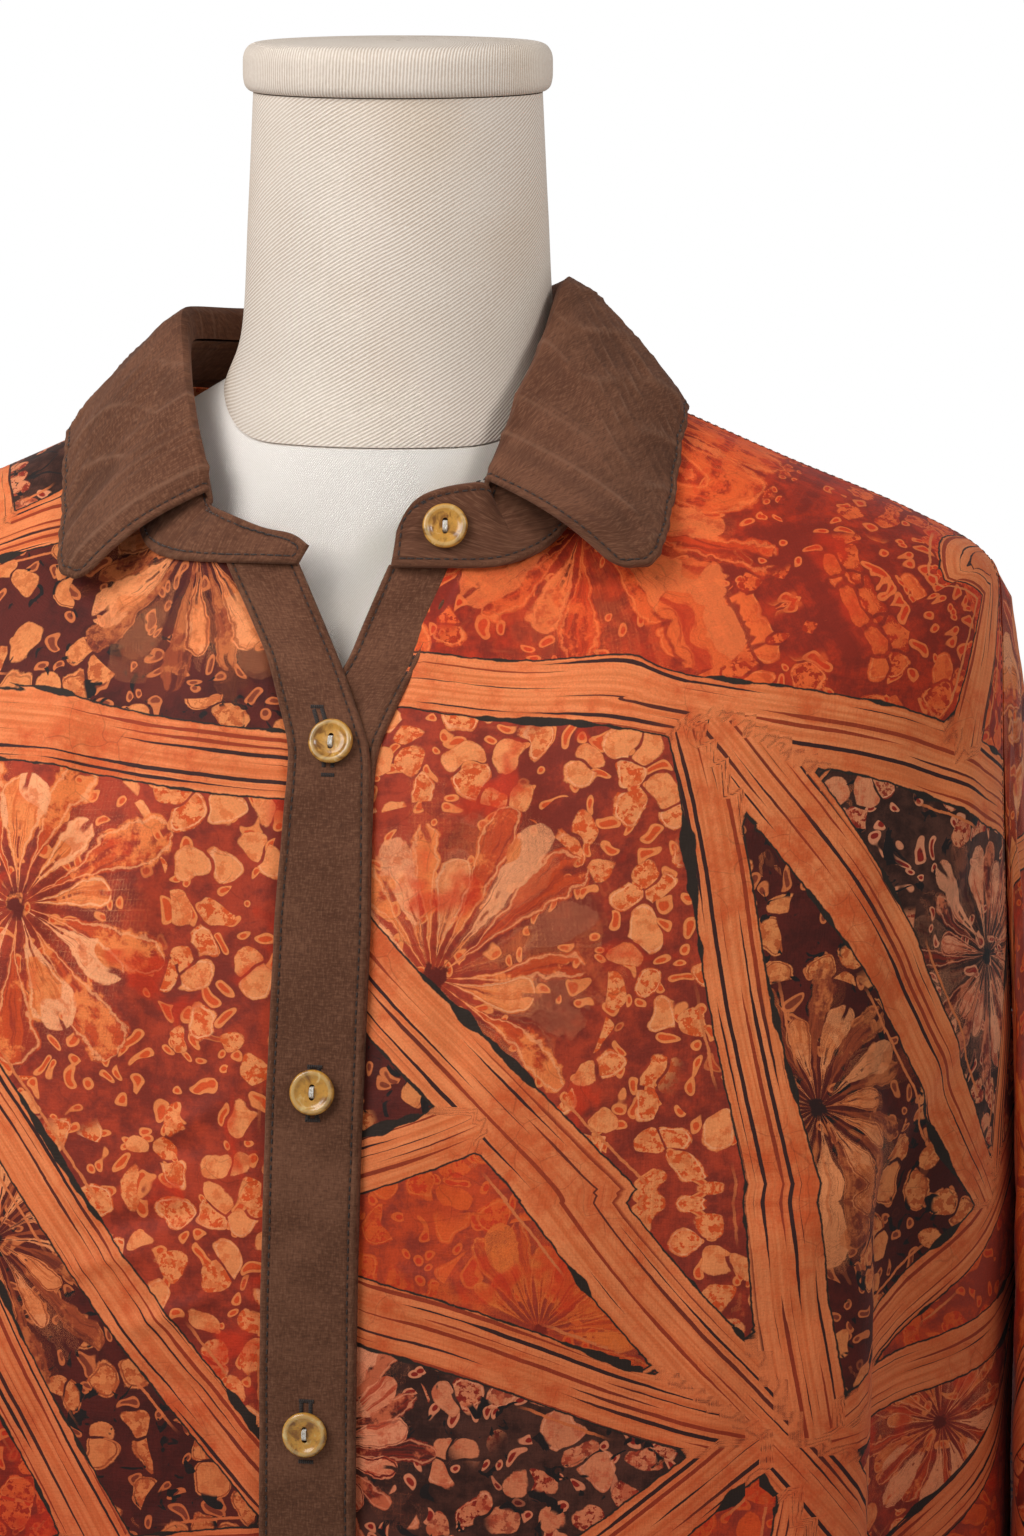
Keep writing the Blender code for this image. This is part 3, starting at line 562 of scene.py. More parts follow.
flowers, dyes = np.array(flower_of), np.array(dye_of, float)
print("flowers of", flowers[:, 2].min().round(3), "to", flowers[:, 2].max().round(3), "m radius")


# %% What the print needs at each point of a panel
NARROW, WIDE = 0.0048, 0.0130  # half widths of the bands in the print


def wander(spots):
    """Hand-drawn lines are never straight: a small, slow drift of the drawing on the cloth."""
    x, y = spots[..., 0], spots[..., 1]
    drift_x = 0.0020 * np.sin(19 * y + 3 * x) + 0.0006 * np.sin(67 * y + 13 * x + 1)
    drift_y = 0.0020 * np.sin(17 * x + 2 * y + 2) + 0.0006 * np.sin(71 * x - 11 * y)
    return spots + np.stack([drift_x, drift_y], -1)


def print_fields(flat, corner):
    """For each point: where it lies against the nearest band, which dye it has, and where its flower is."""
    spots = wander(flat + corner)
    shape = spots.shape[:2]
    edge, along, aside, patch = np.full(shape, -1.0), np.zeros(shape), np.zeros(shape), np.zeros(shape, int)
    for number, (corners, lines) in enumerate(patches):
        inside, beside, signed = np.full(shape, 1.0), np.zeros(shape), np.zeros(shape)
        owned = np.ones(shape, bool)
        for line in lines:
            point, way, half, taper = cuts[line]
            side = np.sign((corners.mean(axis=0) - point) @ sideways(way))
            away, run = (spots - point) @ sideways(way) * side, (spots - point) @ way
            owned &= away >= 0
            inner = away - np.clip(half + taper * run / 0.3, NARROW, WIDE)
            beside = np.where(inner < inside, run + 1.7 * line, beside)
            signed = np.where(inner < inside, away * side, signed)
            inside = np.minimum(inside, inner)
        edge, along = np.where(owned, inside, edge), np.where(owned, beside, along)
        aside, patch = np.where(owned, signed, aside), np.where(owned, number, patch)
    x, y, size, petals, turn = np.moveaxis(flowers[patch], -1, 0)
    x, y = spots[..., 0] - x, spots[..., 1] - y
    turned_x, turned_y = x * np.cos(turn) + y * np.sin(turn), y * np.cos(turn) - x * np.sin(turn)
    return {
        "cloth": np.dstack([flat + corner, np.zeros(shape)]),
        "band": np.stack([edge, along, aside], -1),
        "patch": np.stack([dyes[patch], petals, np.cos(patch * 78.233) * 0.5 + 0.5], -1),
        "flower": np.stack([turned_x / size, turned_y / size, size], -1),
    }


middle = print_fields(np.zeros((1, 1, 2)), np.array(CLOTH_SIZE) / 2)
print("the cloth's middle:", {key: values.ravel().round(3).tolist() for key, values in middle.items()})


# %% [markdown]
# ## Materials
#
# Each finish is a small tree of nodes. A wrapped socket lets a tree be written as a sum: `a * 2 + b` adds
# the math nodes for it. A colour may be given by its hexadecimal code.


# %% Helpers for node trees
def srgb(code):
    """A colour from its hexadecimal code, as linear light."""
    parts = [int(code[i : i + 2], 16) / 255 for i in (0, 2, 4)]
    return tuple(p / 12.92 if p <= 0.04045 else ((p + 0.055) / 1.055) ** 2.4 for p in parts) + (1.0,)


def put(socket, value):
    """Gives an input a number, a colour code or another node's output. None leaves it as it is."""
    if isinstance(value, Value):
        socket.id_data.links.new(value.socket, socket)
    elif value is not None:
        socket.default_value = srgb(value) if isinstance(value, str) else value


def fill(inputs, **values):
    """The same for several inputs, by their names."""
    for key, value in values.items():
        put(inputs[key.replace("_", " ")], value)


def sum_of(operation, turned=False):
    return lambda self, other: self.math(operation, *((other, self) if turned else (self, other)))


class Value:
    """An output of a node. Sums and functions of it add further nodes to the same tree."""

    def __init__(self, socket):
        self.socket, self.tree = socket, socket.id_data

    def node(self, kind, *inputs, **settings):
        made = self.tree.nodes.new("ShaderNode" + kind)
        for key, value in settings.items():
            setattr(made, key, value)
        for socket, value in zip(made.inputs, inputs):
            put(socket, value)
        return made

    def math(self, operation, *inputs):
        return Value(self.node("Math", *inputs, operation=operation).outputs[0])

    __add__ = __radd__ = sum_of("ADD")
    __sub__, __rsub__ = sum_of("SUBTRACT"), sum_of("SUBTRACT", True)
    __mul__ = __rmul__ = sum_of("MULTIPLY")
    __truediv__ = sum_of("DIVIDE")

    def __abs__(self):
        return self.math("ABSOLUTE", self)

    def vector(self, operation, *inputs):
        made = self.node("VectorMath", self, *inputs, operation=operation)
        return Value(made.outputs[operation == "LENGTH"])

    def scaled(self, scale):
        made = self.node("VectorMath", self, operation="SCALE")
        put(made.inputs["Scale"], scale)
        return Value(made.outputs[0])

    def point(self, y=0.0, z=0.0):
        """The point whose x is this value."""
        return Value(self.node("CombineXYZ", self, y, z).outputs[0])

    def unpack(self):
        """Its three numbers as values of their own."""
        return map(Value, self.node("SeparateXYZ", self).outputs)

    def noise(self, scale, detail=2.0, roughness=0.5, distortion=0.0, output="Fac"):
        """Cloudy noise, about 0.5 on the average."""
        made = self.node("TexNoise")
        fill(made.inputs, Vector=self, Scale=scale, Detail=detail, Roughness=roughness, Distortion=distortion)
        return Value(made.outputs[output])

    def cells(self, scale, randomness=1.0, feature="F1"):
        """Scattered spots: the distance from the nearest, or from the line between two."""
        made = self.node("TexVoronoi", feature=feature, voronoi_dimensions="2D")
        fill(made.inputs, Vector=self, Scale=scale, Randomness=randomness)
        return [Value(socket) for socket in made.outputs[:2]]  # distance and colour

    def step(self, low, high):
        """0 below low and 1 above high, or the other way round if low is above high."""
        made = self.node("MapRange", self, min(low, high), max(low, high), interpolation_type="SMOOTHSTEP")
        rising = Value(made.outputs[0])
        return 1.0 - rising if low > high else rising

    def mix(self, first, second, blend="MIX"):
        """The first colour where this value is 0, the second where it is 1."""
        made = self.node("Mix", self, data_type="RGBA", blend_type=blend)
        put(made.inputs[6], first)
        put(made.inputs[7], second)
        return Value(made.outputs[2])

    def paint(self, part, colour):
        """This colour with another painted over part of it."""
        return part.mix(self, colour)

    def bump(self, distance, strength=1.0, under=None):
        made = self.node("Bump")
        fill(made.inputs, Height=self, Distance=distance, Strength=strength, Normal=under)
        return Value(made.outputs["Normal"])


print("mid grey as linear light:", srgb("808080"))


# %% One finish per kind of cloth and part, completed further on
class Finish:
    """A material of one of the shirt's or the form's surfaces."""

    def __init__(self, name):
        self.material = bpy.data.materials.new(name)
        self.material.use_nodes = True
        self.nodes = self.material.node_tree.nodes
        self.shader = self.nodes["Principled BSDF"]

    def field(self, name):
        """The numbers that a mesh carries under this name."""
        made = self.nodes.new("ShaderNodeAttribute")
        made.attribute_name = name
        return Value(made.outputs["Vector"])

    def place(self):
        """Where a point lies, for surfaces that carry no field."""
        return Value(self.nodes.new("ShaderNodeTexCoord").outputs["Object"])

    def finish(self, colour, roughness, normal=None, **fixed):
        fill(self.shader.inputs, Base_Color=colour, Roughness=roughness, Normal=normal, **fixed)


names = "printed_cotton brown_cotton linen_twill painted_steel "
names += "horn_button sewing_thread dark_thread rust_thread"
batik, brown, linen, steel, horn, thread, dark_thread, rust_thread = map(Finish, names.split())
print("finishes:", names)

# %% [markdown]
# ## Fronts and back
#
# A front runs from under its button band to the side seam, round the armhole, and up to the shoulder
# seam. The two fronts and the back share the same rows, so their seams meet point for point. Beside the
# band the stitching draws the thin cotton up into small puckers.

# %% Rows and edges that the panels share
PLACKET_WIDTHS = ((0.150, 0.0305), (0.700, 0.0300), (0.755, 0.0256), (0.780, 0.0230), (0.810, 0.0242))
UNDER_BAND = 0.0045  # how far a front runs on under its button band
NECK_OPENS = 0.7530  # height above which the fronts part
SMALL_ARC = 0.006  # how softly they part
OPENS_LEFT, OPENS_RIGHT = 0.50, -0.46  # how far each goes aside for its height above that
NEAR_FRONT, NEAR_SIDE = 0.14, 0.18  # metres along the cloth for one unit of turn
HELD = 0.010  # a seam holds the cloth flat this far


def armhole_edge(level, side):
    """The turn at which a panel ends: the side seam, or the armhole's edge where it is cut away."""
    height = SHIRT.point(SIDE, level)[..., 2]
    reach = np.sqrt(np.clip(1 - ((height - ARMHOLE_MIDDLE) / ARMHOLE_TALL) ** 2, 0, 1))
    return SIDE + side * ARMHOLE_HALF * reach


def body_levels(low_rows, beside_rows, high_rows):
    """Levels below, beside and above the armhole, closer together where its ends curve."""
    angles = np.linspace(0, math.pi, beside_rows + 1)
    beside = SHIRT.level_at_height(ARMHOLE_MIDDLE - ARMHOLE_TALL * np.cos(angles), SIDE)
    low, high = np.linspace(0, UNDERARM, low_rows + 1), np.linspace(SHOULDER_END, SHIRT.top, high_rows + 1)
    return np.concatenate([low, beside[1:-1], high])[:, None]


def turn_beside_front(distance, level):
    """The turn of a point this far aside from the centre front."""
    return np.arctan2(distance, SHIRT.point(0.0, level)[..., 1] * -1)


def front_height(level):
    return SHIRT.point(0.0, level)[..., 2]


def front_line(level, side):
    """Above the first button each front's centre line goes aside, and the neck stands open."""
    rise, top = front_height(level) - NECK_OPENS, front_height(0.0) - NECK_OPENS
    eased = (rise + np.sqrt(rise * rise + SMALL_ARC**2)) / 2 - SMALL_ARC**2 / 4 / abs(top)
    return np.clip(eased, 0, None) * (OPENS_LEFT if side > 0 else OPENS_RIGHT)


def placket_edge(level):
    heights, widths = np.array(PLACKET_WIDTHS).T
    return np.interp(front_height(level), heights, widths) / 2


def under_lap(turn, level):
    """The wearer's left front lies a band lower near the centre, under the right one."""
    return -(BAND + GAP) * (1 - smooth((np.abs(turn) * FOLD_ARC - 0.015) / 0.050))


LEVELS = body_levels(157, 72, 46)
print("rows of a panel:", len(LEVELS))


# %% Puckers along a sewn edge
def puckers(distance, run, reach, rise, phase):
    """Short ripples that start at a line of stitching and die out a centimetre from it."""
    wave = np.sin(run * 690 + 2.0 * np.sin(run * 61 + phase) + phase)
    wave = wave + 0.7 * np.sin(run * 1130 + 1.3 + 2 * phase)
    patchy = 0.55 + 0.45 * np.sin(run * 47 + phase) * np.sin(run * 19 + 2.0 + phase)
    return rise * wave * patchy * np.exp(-np.clip(distance, 0, None) / reach)


def front_grid(side, columns=78):
    """side is 1 for the wearer's left front and -1 for the right one."""
    seam = np.abs(front_line(LEVELS, side)) + placket_edge(LEVELS)
    inner_turn, outer_turn = turn_beside_front(seam - UNDER_BAND, LEVELS), armhole_edge(LEVELS, -1)
    turns = side * (inner_turn + (outer_turn - inner_turn) * np.linspace(0, 1, columns + 1) ** 1.12)
    beside = (np.abs(turns) - turn_beside_front(seam, LEVELS)) * NEAR_FRONT
    lap = under_lap(turns, LEVELS) if side > 0 else 0.0
    tuck = -0.0009 * (1 - smooth(beside / 0.003))
    drawn = puckers(beside, front_height(LEVELS), 0.011, 0.00042, 0.8 * side) * smooth(beside / 0.0015)
    held = smooth(beside / 0.012) * smooth((outer_turn - np.abs(turns)) * NEAR_SIDE / HELD)
    grid = shirt_point(turns, LEVELS, CLOTH + lap + tuck + drawn, creased=held)
    return grid if side > 0 else grid[:, ::-1]


def back_grid(columns=138):
    edge = armhole_edge(LEVELS, 1)
    turns = edge + (2 * math.pi - 2 * edge) * np.linspace(0, 1, columns + 1)
    from_left, from_right = (turns - edge) * NEAR_SIDE, (2 * math.pi - edge - turns) * NEAR_SIDE
    held = smooth(from_left / HELD) * smooth(from_right / HELD)
    return shirt_point(turns, LEVELS, CLOTH, creased=held)


left_grid, right_grid, rear_grid = front_grid(1), front_grid(-1), back_grid()
print("points of a front and of the back:", left_grid.shape[:2], rear_grid.shape[:2])


# %% Lay the panels flat, give them their print, and make them
def make_panel(name, outer, column, corner, rests_on, **coarse):
    """column is where its height is measured, corner where it was cut from the printed cloth."""
    flat = lay_flat(outer, first_guess(outer, column), **coarse)
    inner = outer - grid_normals(outer) * SHEER
    printed = print_fields(flat, np.array(corner))
    made = make_sheet(name + "_cloth", outer, inner, printed, name, batik)


make_panel("front_left", left_grid, 0, (0.10, 0.10), "form_torso")
make_panel("front_right", right_grid, right_grid.shape[1] - 1, (1.05, 0.16), "form_torso")
make_panel("back", rear_grid, rear_grid.shape[1] // 2, (0.62, 0.92), "form_torso")

# %% [markdown]
# ## Sleeves
#
# The sleeves are empty and hang flat against the sides. A sleeve is a tube: its grid starts and ends at
# the seam under the arm, where the real tube is sewn shut.

# %% Rings of a sleeve, from the armhole to the cuff
# x and height of the outer and the inner side, front and back
SLEEVE_RINGS = table("""
.1960 .791 .2040 .608 -.0175 .052
.1985 .769 .2042 .600 -.019  .058
.2010 .740 .2040 .591 -.021  .065
.2045 .700 .2036 .580 -.026  .074
.2100 .650 .2028 .562 -.033  .084
.2155 .595 .2024 .536 -.039  .091
.2200 .535 .2018 .499 -.043  .093
.2235 .470 .2012 .452 -.044  .089
.2260 .405 .2016 .395 -.043  .082
.2275 .340 .2040 .333 -.041  .075
.2280 .290 .2060 .285 -.040  .070
""")
# angle and row at both ends, half width, rise: angle 0 is the outside, 90 the front
SLEEVE_CREASES = table("""
 20  .3  48 3.4 .007 -.0011
-12  .2 -30 3.0 .008  .0011
 62 1.0  40 4.6 .008  .0012
-62 1.2 -38 4.8 .009 -.0012
  8 2.5 -14 6.5 .009  .0010
 35 5.0  22 8.6 .008 -.0012
-45 5.2 -24 8.8 .009  .0012
 -6 7.0   4 9.8 .008  .0009
 58 7.2  44 9.9 .007  .0008
""")


SLEEVE_ARC = 0.085  # metres along the cloth for one unit of angle


def power(values, exponent):
    return np.sign(values) * np.abs(values) ** exponent


def armhole_ring(angles):
    """The sleeve starts just inside the armhole's edge."""
    heights = ARMHOLE_MIDDLE + ARMHOLE_TALL * 0.985 * np.cos(angles)
    turns = SIDE - ARMHOLE_HALF * 0.985 * np.sin(angles)
    return shirt_point(turns, SHIRT.level_at_height(heights, SIDE), CLOTH + GAP)


def sleeve_ring(row, angles):
    """A flat ring between an outer and an inner side, leaning inwards."""
    outer_x, outer_z, inner_x, inner_z, front_y, back_y = row
    outer, inner = np.array([outer_x, front_y, outer_z]), np.array([inner_x, back_y, inner_z])
    middle, half = (outer + inner) / 2, (outer - inner) / 2
    up, ahead = power(np.cos(angles), 0.85)[:, None], power(np.sin(angles), 0.95)[:, None]
    ring = middle + up * half * (1, 0, 1) + ahead * half * (0, 1, 0)
    wrap = 2.0 + 1.3 * smooth((0.64 - inner_z) / 0.14)  # low down, the back edge turns in behind the body
    ring[:, 0] -= wrap * np.clip(ring[:, 1], 0, None) ** 2
    return ring


def sleeve_grid(columns=116, head_rows=6, rows=150):
    angles = np.linspace(-math.pi, math.pi, columns + 1)
    levels = np.linspace(0, len(SLEEVE_RINGS) - 1, rows + 1)
    rings = np.array([sleeve_ring(row, angles) for row in smooth_rows(SLEEVE_RINGS, levels)])
    start, head = armhole_ring(angles), np.linspace(0, 1, head_rows + 1)[:-1]
    grid = np.concatenate([start + (rings[0] - start) * head[:, None, None], rings])
    levels = np.concatenate([head / 2 - 0.5, levels])[:, None]
    out = 0.0003 * np.sin(levels * 7.1 + angles * 3) * smooth(levels)
    for angle_a, row_a, angle_b, row_b, width, rise in SLEEVE_CREASES:
        part = (levels - row_a) / (row_b - row_a)
        away = (angles - np.radians(angle_a + (angle_b - angle_a) * part)) * SLEEVE_ARC
        out += rise * np.exp(-((away / width) ** 2)) * smooth(part / 0.3) * smooth((1 - part) / 0.4)
    return (grid + grid_normals(grid) * out[..., None])[::-1]


sleeve_right_grid = sleeve_grid() * (-1, 1, 1)
sleeve_left_grid = (sleeve_right_grid * (-1, 1, 1))[:, ::-1]
print("points of a sleeve:", sleeve_left_grid.shape[:2])

# %% Make the sleeves
make_panel("sleeve_left", sleeve_left_grid, 58, (0.30, 0.60), "front_left_cloth", coarse=(40, 30))
make_panel("sleeve_right", sleeve_right_grid, 58, (1.25, 1.00), "front_right_cloth", coarse=(40, 30))

# %% [markdown]
# ## The brown bands
#
# The button bands, the stand and the turned-down collar are cut from a plain slubby cotton. Each is two
# layers thick with its edges turned in, so an edge is round and a little thicker than the printed cloth.

# %% A turned edge rolls down over its last fraction of a millimetre
STITCH_IN = 0.0026  # how far in from an edge its stitching runs
EDGE_STEPS = np.array([0, 0.2, 0.5, 0.9, 1.5, 2.0, 2.4, 2.8, 3.2, 3.8]) / 1000
BAND_WIDE = 0.030


def rolled(distance, radius=0.0010, least=0.30):
    """The thickness near an edge, as a part of the full one."""
    part = np.clip(distance / radius, 0, 1)
    return least + (1 - least) * np.sqrt(np.clip(1 - (1 - part) ** 2, 0, 1))


def stitched(distance, rise, groove):
    """The edge swells a little outside its stitching, and the stitches press a groove."""
    swell = rise * np.exp(-(((distance - 0.0013) / 0.0008) ** 2))
    return swell - groove * np.exp(-(((distance - STITCH_IN) / 0.00045) ** 2))


def band_fields(outer, edge, offset):
    """The weave's place, and the distance from the piece's edge."""
    return {"cloth": np.dstack([first_guess(outer, 0) + offset, np.broadcast_to(edge, outer.shape[:2])])}


def from_ends(along):
    """Distance from the nearer end of a line."""
    return np.minimum(along, along[-1] - along)


print("a band's edge is", round(1000 * BAND * rolled(0.0), 2), "mm thick, its middle", 1000 * BAND)


# %% Make the two button bands
def make_placket(name, side, lift):
    inner_steps = np.linspace(EDGE_STEPS[-1], BAND_WIDE - EDGE_STEPS[-1], 18)[1:-1]
    steps = np.concatenate([EDGE_STEPS, inner_steps, BAND_WIDE - EDGE_STEPS[::-1]])
    across = steps / BAND_WIDE * 2 - 1
    levels = body_levels(240, 60, 40)
    half, height = placket_edge(levels), front_height(levels)
    turns = turn_beside_front(front_line(levels, side) + half * across, levels)
    edge = half * (1 - np.abs(across))
    thick = (BAND + 0.0003) * rolled(edge, 0.0009) + stitched(edge, 0.0003, 0.0003)
    ripple = puckers(edge, height, 0.006, 0.00022, 2.0 + side) * smooth(edge / 0.001)
    ripple = ripple + 0.00028 * np.sin(height * 83 + across * 2.2)
    ripple = ripple + 0.00020 * np.sin(height * 211 - across * 3)
    short = np.sin(height * 447 + across * 2 + 2 * np.sin(height * 39))
    ripple = ripple + 0.00012 * short * np.sin(height * 23)
    outer = shirt_point(turns, levels, lift + thick + ripple)
    inner = shirt_point(turns, levels, lift + 0.0001 + ripple)
    made = make_sheet(name + "_band", outer, inner, band_fields(outer, edge, side * 0.1), name, brown)
    size = (2 * float(half.max()), float(run_along(outer[:, 18])[-1]))
    return outer, edge


top_band, top_inside = make_placket("placket_top", -1, 0.0)
under_band, under_inside = make_placket("placket_under", 1, -(BAND + GAP))
print("button bands:", top_band.shape)

# %% [markdown]
# The collar is two pieces. The stand rises from the neckline and ends in front in two tabs, one with a
# button. The fall is sewn to the stand's upper edge, turns over in a soft fold and lies down on the
# shoulders; its front corners are rounded.

# %% Tables of the collar, from the wearer's right front round the back to the left front
# turn, place of the fold (x, y, z), place of the lower edge (x, y)
COLLAR = table("""
319 -.0500 -.0560 .8268 -.0890 -.0658
313 -.0540 -.0490 .8390 -.0950 -.0570
306 -.0590 -.0390 .8500 -.0985 -.0430
292 -.0660 -.0200 .8660 -.1030 -.0230
270 -.0705  .0020 .8783 -.1060  .0030
240 -.0610  .0340 .8755 -.0840  .0430
210 -.0390  .0560 .8735 -.0480  .0650
180 -.0080  .0610 .8736 -.0080  .0700
150  .0230  .0560 .8770  .0330  .0650
120  .0440  .0330 .8850  .0680  .0420
 90  .0545  .0020 .8900  .0905  .0030
 68  .0535 -.0230 .8760  .0950 -.0230
 54  .0490 -.0440 .8570  .0962 -.0430
 47  .0455 -.0540 .8440  .0960 -.0545
 41  .0426 -.0620 .8330  .0880 -.0642
""")
COLLAR_END = len(COLLAR) - 1
# turn and place of the upper edge of the two tabs
TAB_LEFT = table("""
34 .0390 -.0640 .8330
26 .0292 -.0660 .8315
19 .0215 -.0674 .8283
15 .0172 -.0690 .8229
13 .0152 -.0706 .8162
""")
TAB_RIGHT = table("""
350 -.0124 -.0726 .8130
344 -.0178 -.0702 .8158
336 -.0275 -.0672 .8172
327 -.0395 -.0645 .8212
""")
print("rows of the collar:", len(COLLAR), "and of its tabs:", len(TAB_RIGHT), len(TAB_LEFT))

# %% Where the collar meets the neck and the shirt
STAND_LIFT, FALL_LIFT, FALL_BULGE = 0.0026, 0.0016, 0.0022
SEAM_BELOW = 0.0012  # how far the neckline's seam lies below the shirt's upper edge


def collar_rows(levels):
    """The collar's table at these levels, and how far the stand reaches down from the fold."""
    from_end = np.minimum(levels, COLLAR_END - levels) * 34 / COLLAR_END
    below = 0.009 * (0.45 + 0.55 * smooth(from_end / 8))
    return smooth_rows(COLLAR, levels), below[:, None] * (0, 0, -1)


def towards_neck(fold):
    """The level direction from each point of the fold to the middle of the neckline."""
    return unit(((SHIRT_RINGS[-1, -1], 0.0, 0.0) - fold) * (1, 1, 0))


def seam_point(turn, lift):
    """A point of the neckline's seam, moved out by lift."""
    row = SHIRT.point(turn, SHIRT.top - 1.0) - SHIRT.point(turn, SHIRT.top)
    level = SHIRT.top - SEAM_BELOW / np.linalg.norm(row, axis=-1)
    lap = np.where(np.sin(turn) > 0, under_lap(turn, level), 0.0) * (np.cos(turn) > 0)
    return shirt_point(turn, level, lap + lift)


def over_shirt(place, lift):
    """The point of the shoulders under each place seen from above, moved out by lift."""
    levels = np.linspace(SHOULDER_END - 1.5, SHIRT.top, 260)
    shifts = smooth_rows(SHIRT.rows, levels)[:, -1]
    found = []
    for x, y in place:
        turn = np.arctan2(x - shifts, -y)
        ring = SHIRT.point(turn, levels)
        level = np.interp(0.0, np.hypot(x - shifts, y) - np.hypot(ring[:, 0] - shifts, ring[:, 1]), levels)
        found.append((np.interp(level, levels, turn), level))
    turn, level = np.array(found).T
    return shirt_point(turn, level, lift)


print("neckline's seam at the centre back:", seam_point(math.pi, STAND_LIFT).round(4))


# %% Make the fall
# pitch of the creases, their slope across the fall, how sharp and how high they are
PRESSED = ((0.0118, 0.42, 2, 0.00095), (0.0075, 0.75, 1.6, 0.00050), (0.0190, -0.25, 3, 0.00085))


def fall_creases(run, inside, lean):
    """Sharp creases left by folding, and where their ridges are, which wear pale."""
    total, ridges = 0.0, np.zeros(run.shape)
    for pitch, slope, sharp, rise in PRESSED:
        bend = 1.5 * np.sin(run * 0.456 / pitch + lean * 70 + pitch * 900)
        ridge = 1 - np.abs(np.sin(math.pi / pitch * (run + slope * lean) + bend))
        patchy = np.sin(run * 41 + inside * 130 + pitch * 500) * np.sin(run * 17 - inside * 61 + pitch * 70)
        fade = smooth(0.55 + 0.9 * patchy)
        total = total + rise * ridge**sharp * fade * smooth(inside / 0.006)
        ridges = np.maximum(ridges, ridge**6 * fade)
    return total, ridges


def make_fall():
    tip = [0, 0.006, 0.02, 0.04, 0.058, 0.068, 0.076, 0.084, 0.094]
    end = np.array(tip + list(np.linspace(0.11, 0.5, 16)))
    levels = np.concatenate([end, np.linspace(0.5, 13.5, 300)[1:-1], COLLAR_END - end[::-1]])
    rows, down = collar_rows(levels)
    fold, edge = rows[:, 1:4], rows[:, 4:6]
    inward = towards_neck(fold)
    along = run_along(over_shirt(edge, CLOTH + FALL_LIFT))
    from_end = from_ends(along)
    free = smooth(1 - from_end / 0.045)  # the front ends stand off the chest
    lower = over_shirt(edge, CLOTH + FALL_LIFT + 0.0055 * free)
    depth = np.linalg.norm(lower - fold, axis=-1)
    corner = 0.0120  # the rounded tips
    cut = corner - np.sqrt(np.clip(corner**2 - np.clip(corner - from_end, 0, None) ** 2, 0, None))
    reach = 1 - (cut + 0.0003 * np.sin(along * 410) + 0.0002 * np.sin(along * 1090 + 1)) / depth
    lines, edges = [], []
    for part in (1.0, 0.8, 0.6, 0.42, 0.26, 0.13, 0.04):
        leans_in = 0.0013 * (1 - (1 - part) ** 3)
        lines.append(fold + inward * leans_in + down * part + (0, 0, GAP if part == 1 else 0))
        edges.append(depth + 0.01)
    last = [0.945, 0.953, 0.959, 0.964, 0.969, 0.975, 0.984, 0.993, 1.0]
    bulge = ((0, 0, 0.8) - inward * 0.6) * (FALL_BULGE + 0.0018 * free[:, None])
    for step in [0, 0.012, 0.03, 0.06, *np.linspace(0.1, 0.93, 34), *last]:
        part = (step * reach)[:, None]
        lines.append(fold + (lower - fold) * part + bulge * np.sin(math.pi * part))
        edges.append(depth * reach * (1 - step))
    under, inside = np.array(lines), np.minimum(np.array(edges), from_end)
    run = np.broadcast_to(along, inside.shape)
    lean = np.where(run < along[-1] / 2, -1, 1) * inside
    drag = 0.0004 * np.sin(run * 150 + lean * 90 + 1.5 * np.sin(run * 37)) * smooth(inside / 0.004)
    drag += 0.0004 * np.sin(run * 73 - lean * 120 + 0.7) * smooth(inside / 0.01)
    creases, ridges = fall_creases(run, inside, lean)
    drag = (drag + creases) * smooth((depth - inside) / 0.007)
    ripple = puckers(inside, run, 0.007, 0.00030, 4.0) * smooth(inside / 0.0012) + drag
    ripple += stitched(inside, 0.00020, 0.00022)
    ripple[:6] = 0
    normal = grid_normals(under)
    outer = under + normal * ((BAND + 0.0001) * rolled(inside) + ripple)[..., None]
    inner = under + normal * (0.0001 + ripple * 0.6)[..., None]
    # the crease field holds the ridges, which wear pale, and the drag's height, from which the brown cotton
    # paints shade into the troughs
    fields = band_fields(outer, inside, 0.3) | {"crease": np.stack([ridges, drag, 0 * drag], -1)}
    made = make_sheet("collar_fall_cloth", outer, inner, fields, "collar_fall", brown)
    return outer, inside


fall_outer, fall_inside = make_fall()
print("fall:", fall_outer.shape)


